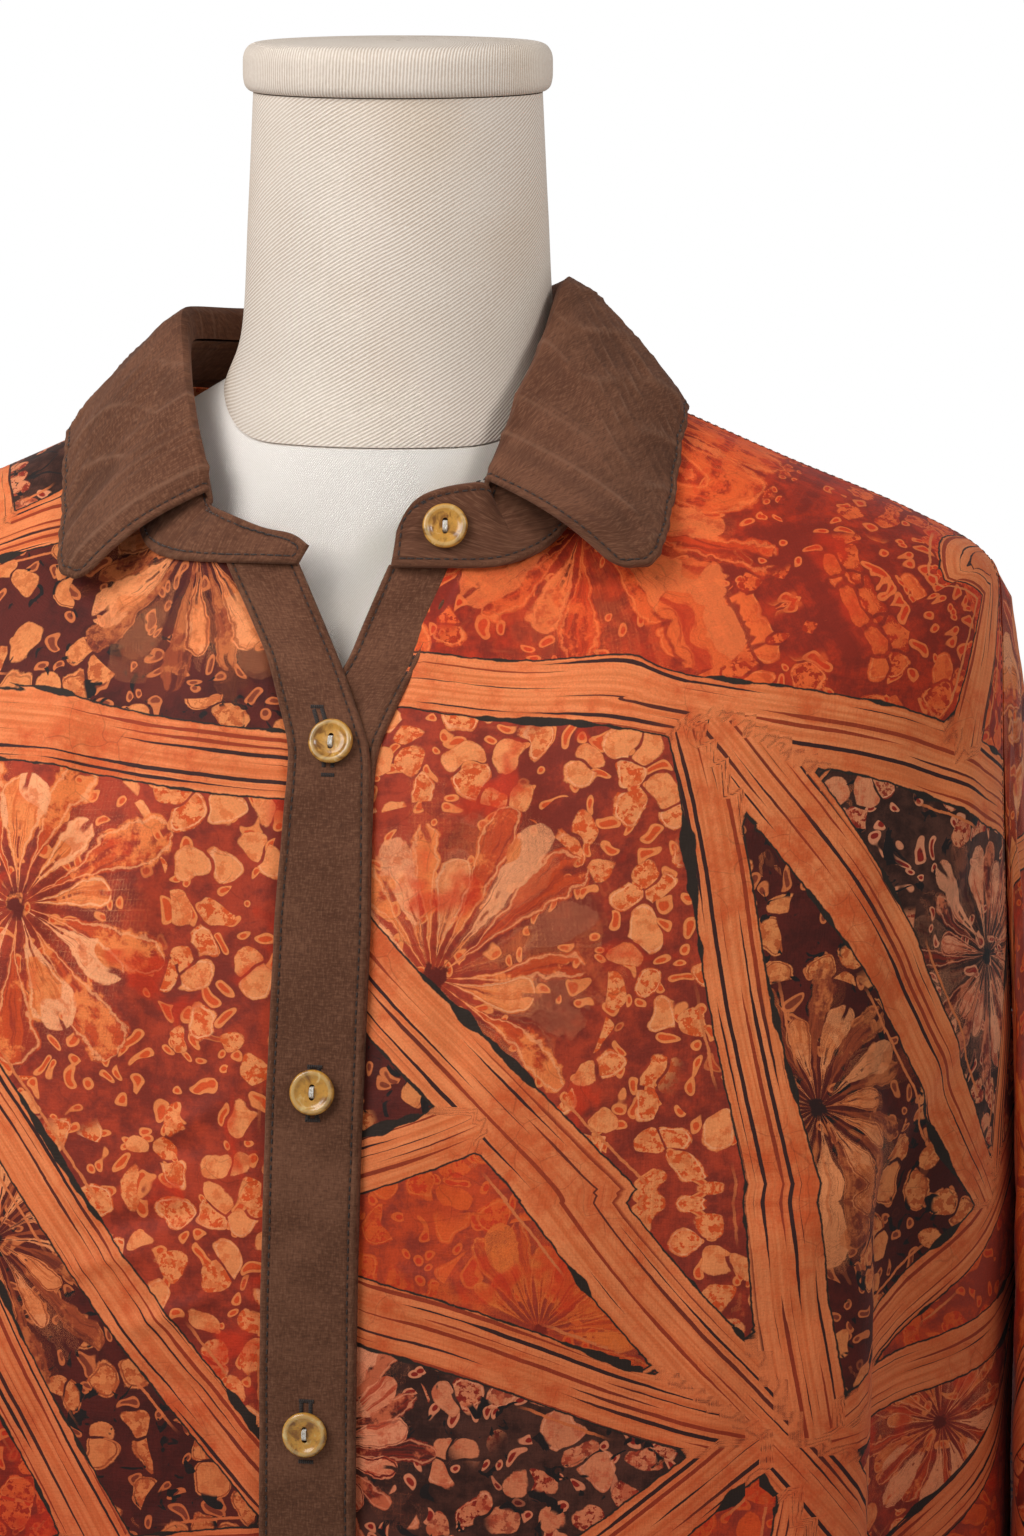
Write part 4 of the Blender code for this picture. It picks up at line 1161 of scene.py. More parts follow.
# %% Make the stand
def make_stand():
    rows, down = collar_rows(np.linspace(0, COLLAR_END, 260))
    fold = rows[:, 1:4]
    ends = np.column_stack([rows[:, 0], fold + towards_neck(fold) * 0.0028 - (0, 0, 0.0007) + down])
    right_tab = smooth_rows(np.vstack([TAB_RIGHT, ends[0]]), np.linspace(0, 4, 60))[:-1]
    left_tab = smooth_rows(np.vstack([ends[-1], TAB_LEFT]), np.linspace(0, 5, 70))[1:]
    whole = np.vstack([right_tab, ends, left_tab])
    bottom = seam_point(np.radians(whole[:, 0]), STAND_LIFT)
    rise = whole[:, 1:] - bottom
    height, along = np.linalg.norm(rise, axis=-1), run_along(bottom)
    near = np.array([0, 0.01, 0.025, 0.045, 0.065, 0.085, 0.105, 0.125])
    steps = np.concatenate([near, np.linspace(0.16, 0.84, 11), 1 - near[::-1]])
    inner = bottom + rise * steps[:, None, None]
    inside = np.minimum(np.minimum(steps, 1 - steps)[:, None] * height, from_ends(along))
    run = np.broadcast_to(along, inside.shape)
    ripple = puckers(inside, run, 0.006, 0.00025, 5.5) * smooth(inside / 0.001)
    ripple = ripple + 0.0003 * np.sin(run * 160 + inside * 90)
    tabs = smooth((from_ends(along) - 0.001) / 0.003)
    ripple = ripple * (0.5 + 0.5 * tabs) + stitched(inside, 0.00015, 0.0002) * tabs
    normal = -grid_normals(inner)
    outer = inner + normal * ((BAND + 0.0001) * rolled(inside) + ripple)[..., None]
    back_face = inner + normal * (0.0001 + ripple * 0.6)[..., None]
    fields = band_fields(outer, inside, 0.6)
    made = make_sheet("collar_stand_cloth", outer, back_face, fields, "collar_stand", brown)
    return outer, inside


stand_outer, stand_inside = make_stand()
print("stand:", stand_outer.shape)

# %% [markdown]
# ## The dress form
#
# A padded form covered with cream linen. The torso has a fine, close weave; the neck is a separate tube
# of heavier twill whose seam shows above the chest, and a flat cap of the same linen closes it.

# %% Rings of the form, finer than the solids
# Rows: bottom, hip, belly, waist, ribs, bust, chest, blade, three of the shoulder, its neck side, neck root
FORM = Rings(table("""
.190  .1500 .0950 .1020  2.2 2.2  0 0 0
.260  .1640 .1060 .1080  2.2 2.2  0 0 0
.350  .1560 .1060 .0980  2.2 2.2  0 0 0
.450  .1260 .0950 .0780  2.1 2.1  0 0 0
.540  .1400 .1140 .0850  2.2 2.2  0 0 0
.605  .1580 .1225 .0920  2.3 2.2  0 0 0
.690  .1660 .1045 .0925  2.3 2.2  .008 .004 0
.755  .1740 .0920 .0860  2.3 2.2  .020 .013 0
.8000 .1760 .0830 .0815  2.1 2.1  .032 .022 0
.8145 .1550 .0755 .0755  2.0 2.0  .037 .022 0
.8300 .1180 .0690 .0690  2.0 2.0  .044 .0175 0
.8440 .0810 .0600 .0560  2.0 2.0  .040 .008 0
.8580 .0560 .0570 .0530  2.0 2.0  .0165 -.008 0
"""))
# Rows: root, hollow of the throat, column, top
NECK = Rings(table("""
.8587 .0558 .0568 .0528  2.0 2.0  .0165 -.008 0
.8760 .0500 .0510 .0490  2.0 2.0  .009 -.004 0
.9120 .0478 .0480 .0475  2.0 2.0  0 0 0
.9497 .0460 .0460 .0460  2.0 2.0  0 0 0
"""))
# radius and height of the cap's edge
CAP = table("""
.0450 .9500
.0470 .9503
.0484 .9516
.0490 .9535
.0492 .9560
.0492 .9590
.0490 .9615
.0482 .9634
.0468 .9648
.0442 .9656
.0382 .9660
""")


def make_turned(name, rings, node, lean=0.0, size=1.0, depth=1.0):
    """A closed body through rings of points; the first column is repeated, so the weave can close."""
    low, high = rings[0].mean(axis=0), rings[-1].mean(axis=0)
    capped = [low + (rings[0] - low) * part for part in (0.02, 0.5)] + list(rings)
    grid = np.array(capped + [high + (rings[-1] - high) * part for part in (0.85, 0.6, 0.3, 0.02)])
    x, y = np.moveaxis(first_guess(grid, 60) * size, -1, 0)
    lean_x, lean_y = x * math.cos(lean) - y * math.sin(lean), x * math.sin(lean) + y * math.cos(lean)
    fields = {"cloth": np.stack([lean_x, lean_y, np.full(x.shape, depth)], -1)}
    faces = grid_faces(*grid.shape[:2])
    return make_mesh(name, grid.reshape(-1, 3), faces, fields, linen.material, replaces=node)


turns = np.linspace(math.pi, 3 * math.pi, 121)  # the weave closes at the centre back
torso_rings = FORM.point(turns, np.linspace(0, FORM.top, 140)[:, None])
torso_rings = np.concatenate([torso_rings[:1] * (0.93, 0.93, 1.0) - (0.0, 0.0, 0.006), torso_rings])
make_turned("form_torso_cover", torso_rings, "form_torso", math.radians(-24), 1.8, 0.30)
neck_levels = np.array([0, 0.02, 0.05, 0.1, *np.linspace(0.15, 2.9, 60), 2.94, 2.97, 3.0])
make_turned("form_neck_cover", NECK.point(turns, neck_levels[:, None]), "form_neck")
radius, height = smooth_rows(CAP, np.linspace(0, 10, 41)).T[..., None]
cap_rings = np.stack([radius * np.sin(turns), -radius * np.cos(turns), height + 0 * turns], -1)
make_turned("neck_cap_cover", cap_rings, "neck_cap", math.radians(-58))
for node in ("stand_base", "stand_post"):
    frame["nodes"][node].material_slots[0].material = steel.material
print("form covered")

# %% [markdown]
# ## Stitching
#
# A line of machine stitching is a row of short threads that dip into the cloth. One stitch is a slim
# lozenge of twelve faces. A whole seam is one mesh: the lozenge is repeated along a line of points that
# is read from the cloth's own grid, so the stitches lie on the cloth wherever it ripples.


# %% Repeat a stitch along a line
# part of its length, size there
LOZENGE = ((-0.5, 0.0), (-0.28, 1.0), (0.28, 1.0), (0.5, 0.0))


def stitch_points(line, normals, pitch=0.0027, length=0.0021, width=0.00042, lean=0.0):
    """The sixteen points of each stitch along a line, turned by lean in the plane of the cloth."""
    run = run_along(line)
    places = np.arange(pitch / 2, run[-1], pitch)

    def read(values, shift=0.0):
        return np.stack([np.interp(places + shift, run, values[:, k]) for k in range(3)], -1)

    centre, normal = read(line), unit(read(normals))
    along = unit(read(line, 0.0004) - read(line, -0.0004))
    along = along * math.cos(lean) + np.cross(normal, along) * math.sin(lean)
    across = np.cross(normal, along)
    rings = []
    for part, size in LOZENGE:
        for angle in math.pi / 4 + np.arange(4) * math.pi / 2:
            side = (across * math.cos(angle) * 0.7 + normal * math.sin(angle) * 0.6) * size * width
            sunk = 0.00006 if size else -0.00022
            rings.append(centre + along * part * length + side + normal * sunk)
    return np.stack(rings, 1)


def stitch_mesh(name, groups, finish):
    """All the stitches of some lines as one mesh."""
    points = np.concatenate(groups)
    turn = np.arange(12)
    after = turn // 4 * 4 + (turn + 1) % 4
    one = np.stack([turn, after, after + 4, turn + 4], -1)
    faces = (one + (np.arange(len(points)) * 16)[:, None, None]).reshape(-1, 4)
    make_mesh(name, points.reshape(-1, 3), faces, {}, finish.material, sharp=80)
    print(name, len(points), "stitches")


def line_inside(grid, inside, distance, axis, end):
    """Where the distance from the edge first reaches a value, walking in from one end of each row (axis 1)
    or of each column (axis 0)."""
    normals = grid_normals(grid)
    if axis == 0:
        grid, normals, inside = grid.transpose(1, 0, 2), normals.transpose(1, 0, 2), inside.T
    if end:
        grid, normals, inside = grid[:, ::-1], normals[:, ::-1], inside[:, ::-1]
    found = []
    for row, out, depth in zip(grid, normals, inside):
        place = int(np.argmax(depth >= distance))
        if place > 0:
            part = (distance - depth[place - 1]) / (depth[place] - depth[place - 1])
            found.append((row[place - 1] + (row[place] - row[place - 1]) * part, out[place]))
    return np.array(found).transpose(1, 0, 2)


# %% Stitch the brown bands
def stitch_inside(grid, inside, axis, end):
    return stitch_points(*line_inside(grid, inside, STITCH_IN, axis, end))


bands = ((top_band, top_inside), (under_band, under_inside))
band_stitches = [stitch_inside(*band, 1, end) for band in bands for end in (0, -1)]
stitch_mesh("placket_stitches", band_stitches, dark_thread)
collar_stitches = [stitch_inside(fall_outer, fall_inside, 0, -1)]
collar_stitches += [stitch_inside(fall_outer[6:], fall_inside[6:], 1, end) for end in (0, -1)]
stitch_mesh("fall_stitches", collar_stitches, dark_thread)
facing_out = []
for axis, end in ((0, 0), (0, -1), (1, 0), (1, -1)):
    line, normals = line_inside(stand_outer, stand_inside, STITCH_IN, axis, end)
    facing_out.append(stitch_points(line, -normals))
stitch_mesh("stand_stitches", facing_out, dark_thread)

# %% Stitch the printed panels: side seams, armholes and hems
HEM_DEPTH, BESIDE_SEAM = 0.012, 0.0022
fine = {"length": 0.0019, "width": 0.00034}
panel_stitches = []
grids = (left_grid, right_grid, rear_grid, sleeve_left_grid, sleeve_right_grid)
for grid, ends in zip(grids, ((-1,), (0,), (0, -1), (), ())):
    from_hem = from_column(grid.transpose(1, 0, 2)).T
    panel_stitches.append(stitch_points(*line_inside(grid, from_hem, HEM_DEPTH, 0, 0), **fine))
    for end in ends:
        seam = line_inside(grid, from_column(grid, end), BESIDE_SEAM, 1, end)
        panel_stitches.append(stitch_points(*seam, **fine))
stitch_mesh("panel_stitches", panel_stitches, rust_thread)

# %% [markdown]
# ## Buttons
#
# Seven buttons of pressed horn, 14 mm across, with a raised rim, a dished face and two holes one above
# the other. White thread goes through the holes in four strands. Each button is lathed, and its holes are
# cut with a Boolean. Behind it lies its buttonhole, worked upright in dark thread, of which both ends show.

# %% Turn a button and cut its holes
# radius and height of the profile, in millimetres
PROFILE = table("""
0    0
4.8  0
6.1  0.3
6.85 1.0
7.0  1.6
6.9  2.1
6.5  2.55
6.0  2.7
5.4  2.62
4.8  2.3
4.2  2.0
3.4  1.85
2.0  1.8
0    1.8
""") / 1000
DRILL = np.array([(0, -0.001), (0.00085, -0.001), (0.00085, 0.004), (0, 0.004)])
HOLE_AT = 0.00165  # a hole's distance from the middle


def turned(name, profile, sides):
    """Turns a profile round the upright axis."""
    turns = np.linspace(0, 2 * math.pi, sides, endpoint=False)
    points = [(0.0, 0.0, profile[0][1]), (0.0, 0.0, profile[-1][1])]
    for radius, height in profile[1:-1]:
        points += [(radius * math.cos(t), radius * math.sin(t), height) for t in turns]
    faces, last = [], len(points) - sides
    pairs = [(i, (i + 1) % sides) for i in range(sides)]
    for ring in range(2, last, sides):
        faces += [(ring + i, ring + j, ring + j + sides, ring + i + sides) for i, j in pairs]
    for i, j in pairs:
        faces += [(0, 2 + j, 2 + i), (1, last + i, last + j)]
    data = bpy.data.meshes.new(name)
    data.from_pydata(points, [], faces)
    return link(name, data)


blank = turned("button_blank", smooth_rows(PROFILE, np.linspace(0, len(PROFILE) - 1, 40)), 56)
for height in (-HOLE_AT, HOLE_AT):
    drill = turned("drill", DRILL, 20)
    drill.location = (0.0, height, 0.0)
    cut = blank.modifiers.new("hole", "BOOLEAN")
    cut.object, cut.operation, cut.solver = drill, "DIFFERENCE", "EXACT"
    bpy.context.view_layer.update()
    with_hole = bpy.data.meshes.new_from_object(blank.evaluated_get(bpy.context.evaluated_depsgraph_get()))
    blank.modifiers.clear()
    blank.data = with_hole
    bpy.data.objects.remove(drill)
blank.data.shade_smooth()
blank.data.set_sharp_from_angle(angle=math.radians(38))
blank.data.materials.clear()
blank.data.materials.append(horn.material)
print("button:", len(blank.data.polygons), "faces")


# %% Thread through the two holes
def tube_points(line, radius, sides=8):
    """Rings of points round a line."""
    ahead = unit(np.gradient(line, axis=0))
    side = unit(np.cross(ahead, (1.0, 0.0, 0.0)))
    other = np.cross(ahead, side)
    turns = np.linspace(0, 2 * math.pi, sides + 1)[:, None]
    return line[:, None] + radius * (side[:, None] * np.cos(turns) + other[:, None] * np.sin(turns))


def thread_bar():
    """Four strands from hole to hole, in the button's own axes."""
    part = np.linspace(-1, 1, 15)
    bow = 0.00228 + 0.00030 * (1 - part**2) - 0.0016 * np.clip(np.abs(part) - 0.72, 0, 1) / 0.28
    strands = (-0.00045, -0.00014, 0.00016, 0.00046)
    lines = [(x * (0.9 + 0.3 * np.cos(part * 1.3)), part * 0.00172, bow) for x in strands]
    return np.concatenate([tube_points(np.stack(line, -1), 0.00021) for line in lines])


def number_of(name):
    """A number of its own for each button, so that no two pieces of horn look alike."""
    return sum(ord(letter) * (i + 3) for i, letter in enumerate(name)) * 0.0137 % 1.0


def make_button(name, place, facing):
    """A copy of the turned button and its thread, put on the cloth."""
    side = unit(np.cross((0.0, 0.0, 1.0), facing))
    axes = np.array([side, np.cross(facing, side), facing])
    data = blank.data.copy()
    local = np.empty(len(data.vertices) * 3, np.float32)
    data.vertices.foreach_get("co", local)
    local = local.reshape(-1, 3)
    shifted = (local + [number_of(name), 0, 0]).astype(np.float32)
    data.attributes.new("cloth", "FLOAT_VECTOR", "POINT").data.foreach_set("vector", shifted.ravel())
    data.vertices.foreach_set("co", (place + local.astype(float) @ axes).astype(np.float32).ravel())
    data.update()
    made = link(name + "_horn", data)
    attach(made, "root")
    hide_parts(name)
    points = thread_bar() @ axes + place
    size = (15, points.shape[1])
    faces = np.concatenate([grid_faces(*size, i * size[0] * size[1]) for i in range(4)])
    make_mesh(name + "_thread", points.reshape(-1, 3), faces, {}, thread.material, sharp=80)


print("strands of thread in a button:", len(thread_bar()) // 15)

# %% Work the buttonholes and sew on the seven buttons
TOP_BUTTON, APART = 0.7545, 0.104
BUTTON_HEIGHTS = [TOP_BUTTON - count * APART for count in range(6)]


def on_band(low, high, aside):
    """A line up the front band between two heights, a little to one side of its middle."""
    rows = np.flatnonzero((top_band[:, top_band.shape[1] // 2, 2] > low) & (top_band[:, 0, 2] < high))
    out, columns = grid_normals(top_band), np.arange(top_band.shape[1])
    line, normals = [], []
    for row in rows:
        depth = top_inside[row]
        middle = depth.argmax()
        from_middle = np.sign(columns - middle) * (depth.max() - depth)
        column = np.interp(aside, from_middle, columns)
        line.append([np.interp(column, columns, top_band[row, :, k]) for k in range(3)])
        normals.append(out[row, middle])
    return np.array(line), np.array(normals)


buttonholes = []
for height in BUTTON_HEIGHTS:
    for aside in (-0.0008, 0.0008):
        line, normals = on_band(height - 0.0085, height + 0.0102, aside)
        buttonholes.append(stitch_points(line, normals, 0.00050, 0.0017, 0.00050, math.pi / 2))
    left, out = on_band(height - 0.0095, height + 0.0108, -0.0016)
    right, _ = on_band(height - 0.0095, height + 0.0108, 0.0016)
    for end in (-1, 0):
        bar = np.linspace(left[end], right[end], 8)
        facing = np.repeat(out[[end]], 8, axis=0)
        buttonholes.append(stitch_points(bar, facing, 0.0006, 0.0016, 0.0005, math.pi / 2))
stitch_mesh("buttonholes", buttonholes, dark_thread)
for count, height in enumerate(BUTTON_HEIGHTS):
    level = SHIRT.level_at_height(height)
    make_button(f"button_{count + 1}", shirt_point(0.0, level, BAND + GAP + 0.0004), SHIRT.normal(0.0, level))
away = np.linalg.norm(stand_outer - np.mean(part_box("button_stand"), axis=0), axis=-1)
place = np.unravel_index(np.argmin(away), away.shape)
facing = -grid_normals(stand_outer)[place]
make_button("button_stand", stand_outer[place] + facing * 0.0001, facing)
bpy.data.objects.remove(blank)
print("buttons at heights", np.round(BUTTON_HEIGHTS, 4), "and one on the stand")

# %% [markdown]
# ## The print, painted in nodes
#
# The mesh carries four small fields: where a point lies on the cloth, how far it is inside its patch
# (negative on a band), its patch's dye, and its place in the patch's flower. The nodes turn these into
# brush lines, petals and pebbles. A petal is a slice of the circle round the flower's middle: the angle
# counts the petals, and a curve gives the petal's half width from its foot to its tip.

# %% Start the printed cotton: fields and dyes
cloth = batik.field("cloth")
inside, run, aside = batik.field("band").unpack()
dye, petals, luck = batik.field("patch").unpack()
flower_x, flower_y, _ = batik.field("flower").unpack()
tremble = cloth.noise(190, 3, 0.6) - 0.5
inside = inside + tremble * 0.0016
drift = cloth.noise(22, 4, 0.6)
mottle = cloth.noise(130, 4, 0.7)
uneven = mottle * 0.6 + drift * 0.7
dye_place = dye * 0.2 + 0.1


def by_dye(codes):
    """One colour for each of the five dyes, picked by the patch."""
    made = dye_place.node("ValToRGB", dye_place)
    made.color_ramp.interpolation = "CONSTANT"
    elements = made.color_ramp.elements
    for count, code in enumerate(codes.split()):
        element = elements[count] if count < 2 else elements.new(0.2 * count)
        element.position, element.color = 0.2 * count, srgb(code)
    return Value(made.outputs[0])


ground = uneven.step(0.56, 0.76).mix(
    by_dye("682c22 40281f a24630 8f3421 8c3c2c"),
    by_dye("50231c 5e4034 c9562a bb421f b24c30"),
)
print("dyes: maroon, charcoal, orange, red, rose")

# %% Pebble-like petals that fill the ground
warp = cloth.noise(75, 1, output="Color").vector("SUBTRACT", (0.5, 0.5, 0.5)).scaled(0.012)
warped = cloth.vector("ADD", warp)
size, colours = warped.cells(82, 0.9)
gap = warped.cells(82, 0.9, "DISTANCE_TO_EDGE")[0]
pebble_luck, pebble_tint, pebble_turn = colours.unpack()
radius = flower_x.point(flower_y).vector("LENGTH")  # 1 at the flower's rim
lonely = (pebble_luck * 0.40 + cloth.noise(13, 1)) * radius.step(0.86, 1.02)
shape = size - (pebble_tint * 0.16 + 0.33)
ragged = shape + (mottle - 0.5) * 0.22
apart = (gap + tremble * 0.08).step(0.025, 0.055)
pebbles_here = ragged.step(0.02, -0.02) * lonely.step(0.54, 0.57) * apart
blotch = cloth.noise(300, 3, 0.7).step(0.49, 0.56)
pebble = (blotch * pebble_turn.step(0.25, 0.45)).mix(
    by_dye("e09a60 dd9c72 dd6a2e e2743a eda46a"),
    by_dye("bd6a39 93331f cf4a20 b03a1a d8652d"),
)
pebble_rim = abs(ragged + 0.06).step(0.030, 0.010) * pebble_tint.step(0.45, 0.55)
pebble = pebble.paint(pebble_rim, by_dye("a05a34 eab08a e2793c e88a50 f0b484"))
washed = cloth.noise(210, 4, 0.65).step(0.49, 0.60) * 0.55
wash = by_dye("c87440 c5623e cf5a24 c64a1f d77238")
painted = ground.paint(pebbles_here, pebble.paint(washed, wash))
print("pebbles painted")

# %% Small seeds and strokes between the pebbles
seed, colours = cloth.vector("ADD", warp.scaled(1.5)).cells(165)
seed_luck, _, _ = colours.unpack()
rare = seed_luck.step(0.50, 0.53) * (1.0 - pebbles_here)
painted = painted.paint(seed.step(0.32, 0.24) * rare, by_dye("8d4a30 98301f d24c22 cf481c d8622e"))
seed_rim = abs(seed - 0.25).step(0.10, 0.05) * rare
painted = painted.paint(seed_rim, by_dye("cf8350 e0a27c de7034 e07f46 e8985c"))
ink = warped.noise(150, 2, 0.5, 0.8).step(0.60, 0.63) * dye.math("LESS_THAN", dye, 1.5)
painted = painted.paint(ink * shape.step(-0.16, -0.04), "2b2524")
print("seeds and strokes painted")

# %% [markdown]
# Flowers come in two layers: long, slim petals behind in a middle colour, and broad ones in front in the
# palest. Every petal draws three lots of its own, for its length, its lean and its breadth; some are left
# out. Brush streaks and a few slits of bare ground run up from its foot.

# %% Where the petals of a layer lie
# distance from the flower's middle, half width there
PETAL = table("""
0.00 0.03
0.12 0.07
0.32 0.19
0.55 0.35
0.76 0.44
0.90 0.36
0.97 0.20
1.00 0.00
""")
bent = flower_y.math("ARCTAN2", flower_y, flower_x) + (drift - 0.5) * 0.55


def petal_layer(shift, reach, spread, width):
    """Where the petals are, how far over their edge, the place across and along, and a petal's lot."""
    turns = bent / (2 * math.pi) * petals + shift
    count = turns.math("FLOOR", turns)
    lot = luck.math("MULTIPLY_ADD", luck, 31.0, shift)
    dice = count.math("FLOORED_MODULO", count, petals).point(lot)
    dice = dice.node("TexWhiteNoise", dice, noise_dimensions="2D")
    lean, plump, chance = Value(dice.outputs["Color"]).unpack()
    across = turns - count - 0.5 + (lean - 0.5) * 0.22
    part = radius / (chance * spread + reach)
    curve = part.node("FloatCurve")
    points = curve.mapping.curves[0].points
    for place in PETAL[1:-1]:
        points.new(*place)
    points[0].location, points[-1].location = PETAL[0], PETAL[-1]
    curve.mapping.update()
    put(curve.inputs["Value"], part)
    half = Value(curve.outputs["Value"]) * (plump * (0.5 * width) + 0.62 * width)
    over = abs(across) - half + tremble * 0.20
    here = over.step(0.02, -0.01) * part.step(1.0, 0.985)
    whole = part.math("MAXIMUM", abs(across).step(0.02, 0.05), part.step(0.90, 0.84))  # some tips are cleft
    here = here * part.math("MAXIMUM", whole, lean.math("GREATER_THAN", lean, 0.4))
    return here * plump.step(0.07, 0.09), over, across, part, chance


def streaks(across, part, chance, fine, low, high):
    """Brush streaks from a petal's foot to its tip."""
    return (across * fine).point(part * 1.8, chance * 19).noise(1.0, 3, 0.6).step(low, high)


print("outline of a petal:", len(PETAL), "points")

# %% The layer behind
here, over, across, part, chance = petal_layer(shift=0.5, reach=0.80, spread=0.36, width=0.58)
behind = streaks(across, part, chance, 11, 0.45, 0.60).mix(
    by_dye("a85a36 8c3622 d9682c d65424 cf5c2c"),
    by_dye("7c3d29 5c3026 c04e26 a83a1c a8442a"),
)
behind = behind.paint(uneven.step(0.62, 0.70), by_dye("c67c4a cf7f58 e3823e de6c34 e89052"))
outline = abs(over + 0.04).step(0.026, 0.008) * 0.8
behind = behind.paint(outline, by_dye("9c5632 e0a27c e78a48 e8864c f0b07c"))
painted = painted.paint(here, behind)
print("printed cotton so far:", len(batik.nodes), "nodes")

# %% The broad petals in front, and the flower's middle
here, over, across, part, chance = petal_layer(shift=0.0, reach=0.58, spread=0.46, width=0.80)
broad = streaks(across, part, chance, 8, 0.54, 0.62).mix(
    by_dye("ea9d64 e8a47c e07c3a e2743a ec9a5c"),
    by_dye("cf7c46 c0603e cc5826 c64720 d87a40"),
)
plain = warped.noise(48, 1).step(0.46, 0.475) * chance.step(0.15, 0.25)
broad = broad.paint(plain, by_dye("eda872 eeb088 e2843f e4824a f2b484"))
broad = broad.paint(washed * chance.step(0.95, 0.45), wash)
broad = broad.paint(streaks(across, part, chance, 34, 0.60, 0.64) * part.step(0.80, 0.55), ground)
rim = abs(over + 0.05).step(0.030, 0.012) * chance.step(0.55, 0.35)
broad = broad.paint(rim, by_dye("a65a34 7c2c20 e88c48 ea8a52 f3bb8a"))
faint = part.step(0.66, 0.50) * part.point(chance, luck).noise(14, 1).step(0.42, 0.50)
broad = broad.paint(abs(across).step(0.05, 0.02) * faint, by_dye("57302a 2f2827 9c3a22 6f2216 9a3f28"))
painted = painted.paint(here, broad)
blush = warped.noise(34, 3, 0.6).step(0.57, 0.66) * dye.math("GREATER_THAN", dye, 1.5) * 0.65
painted = painted.paint(blush, "d2431c")
middle = (radius + tremble * 0.30).step(0.085, 0.045)
painted = painted.paint(middle, by_dye("3a2725 241f1e 8a3320 6a1f15 6f2d22"))
print("petals in two layers")

# %% [markdown]
# The bands keep the palest dye. Their lines run along the band: the distance from its edge counts the
# lines, and a slow noise along each line breaks it and makes it swell, as a loaded brush does.

# %% Brush lines of the bands
LINE_PITCH = 0.0027
lines = (aside + run.point(0.0, 2.0).noise(12, 2) * 0.0040 + tremble * 0.0005) / LINE_PITCH
number = lines.math("FLOOR", lines)
load = (run * 9).point(number * 3.7).noise(1.0, 3)
swell = load.math("MINIMUM", (load - 0.485) * 2.2, 0.24)
line = (abs(lines - number - 0.5) - swell).step(0.03, -0.03)
line = line * abs(aside).step(0.0112, 0.0098)  # none where bands cross
ink_or_rust = (run * 4).point(number * 9.1, 5.0).noise(1.0, 1)
grain = (run * 14).point(aside * 600).noise(1.0, 2)
pale = grain.step(0.35, 0.70).mix("ee9f68", "dd844d").paint(uneven.step(0.60, 0.85), "cd6a38")
band = pale.paint(line, ink_or_rust.step(0.46, 0.52).mix("a34a28", "452b28"))
painted = painted.paint(inside.step(0.0002, -0.0002), band)
border_load = run.point(aside.math("SIGN", aside), 3.0).noise(17, 3, 0.65)
border = load.math("MAXIMUM", (border_load - 0.52) * 0.0190, 0.00030)
painted = painted.paint((abs(inside - 0.0002) - border).step(0.0002, -0.0002), "38312a")
second = abs(inside - 0.0032).step(0.0006, 0.0003) * run.point(0.0, 7.0).noise(15, 1).step(0.52, 0.58)
painted = painted.paint(second, "d98a55")
print("bands painted")

# %% Wax crackle, uneven dye, painted shade towards the hem, and the weave
crack = warped.cells(100, 1.0, "DISTANCE_TO_EDGE")[0]
painted = painted.paint(crack.step(0.026, 0.008) * drift.step(0.52, 0.62) * 0.22, "5a2419")
speck = cloth.noise(1500, 2, 0.7)
stain = (mottle * 0.46 + 0.76) * (speck * 0.50 + 0.76) * (cloth.noise(7, 2) * 0.36 + 0.82)
_, _, height = batik.place().unpack()
painted_shade_low = height.step(0.68, 0.42)  # painted shade: darker towards the hem, where less light falls; the print also turns redder there
rich = Value(painted.node("Gamma", painted, 1.12).outputs[0])
tint = (stain * (1.10 - painted_shade_low * 0.22)).point(stain * (0.87 - painted_shade_low * 0.40), stain * (0.80 - painted_shade_low * 0.40))
painted = rich.vector("MULTIPLY", tint)
cloth_x, cloth_y, _ = cloth.unpack()
warp_threads = (cloth_x * 1500).point(cloth_y * 260).noise(1.0, 1)
weft_threads = (cloth_x * 260).point(cloth_y * 1500, 5.0).noise(1.0, 1)
normal = cloth.vector("ADD", warp).noise(34, 3, 0.55).bump(0.0030, 0.40)
normal = (warp_threads + weft_threads).bump(0.00030, 0.40, normal)
batik.finish(painted, 0.68, normal, Sheen_Weight=0.04, Sheen_Roughness=0.45, Specular_IOR_Level=0.24)
print("printed cotton:", len(batik.nodes), "nodes")

# %% [markdown]
# ## Brown cotton
#
# A plain weave spun unevenly: thicker slubs run along both threads, and fine pale fibres catch the light.
# The third number of its field is the distance from the piece's edge, so the material can wear the edge
# pale and paint shade into the groove in which the stitching lies.

# %% Brown cotton for the collar and the bands
cloth_x, cloth_y, rim = brown.field("cloth").unpack()
flat = cloth_x.point(cloth_y)
across_slubs = (cloth_x * 420).point(cloth_y * 1700).noise(1.0, 2, 0.6)
along_slubs = (cloth_x * 1700).point(cloth_y * 420, 4.0).noise(1.0, 2, 0.6)
slubs = across_slubs + along_slubs
colour = flat.noise(30, 4, 0.6).step(0.35, 0.68).mix("5e3926", "724934")
colour = colour.paint(slubs.step(0.95, 1.30) * 0.50, "8a5f47")
colour = colour.paint(slubs.step(0.98, 0.72) * 0.45, "42291e")
colour = colour.paint(flat.noise(2300, 2, 0.6).step(0.68, 0.80) * 0.28, "a7846a")
pressed, swell, _ = brown.field("crease").unpack()  # only the fall has this field: elsewhere it is 0
colour = colour.paint(pressed.step(0.10, 0.90) * (flat.noise(300, 3, 0.6) * 0.7 + 0.05), "8c6650")
# painted shade: darker where the fall's drag creases sink in
colour = colour.paint(swell.step(0.00010, -0.00045) * 0.35, "40261a")
colour = colour.paint(rim.step(0.0011, 0.0001) * flat.noise(420, 3, 0.6).step(0.40, 0.60) * 0.4, "8a634b")
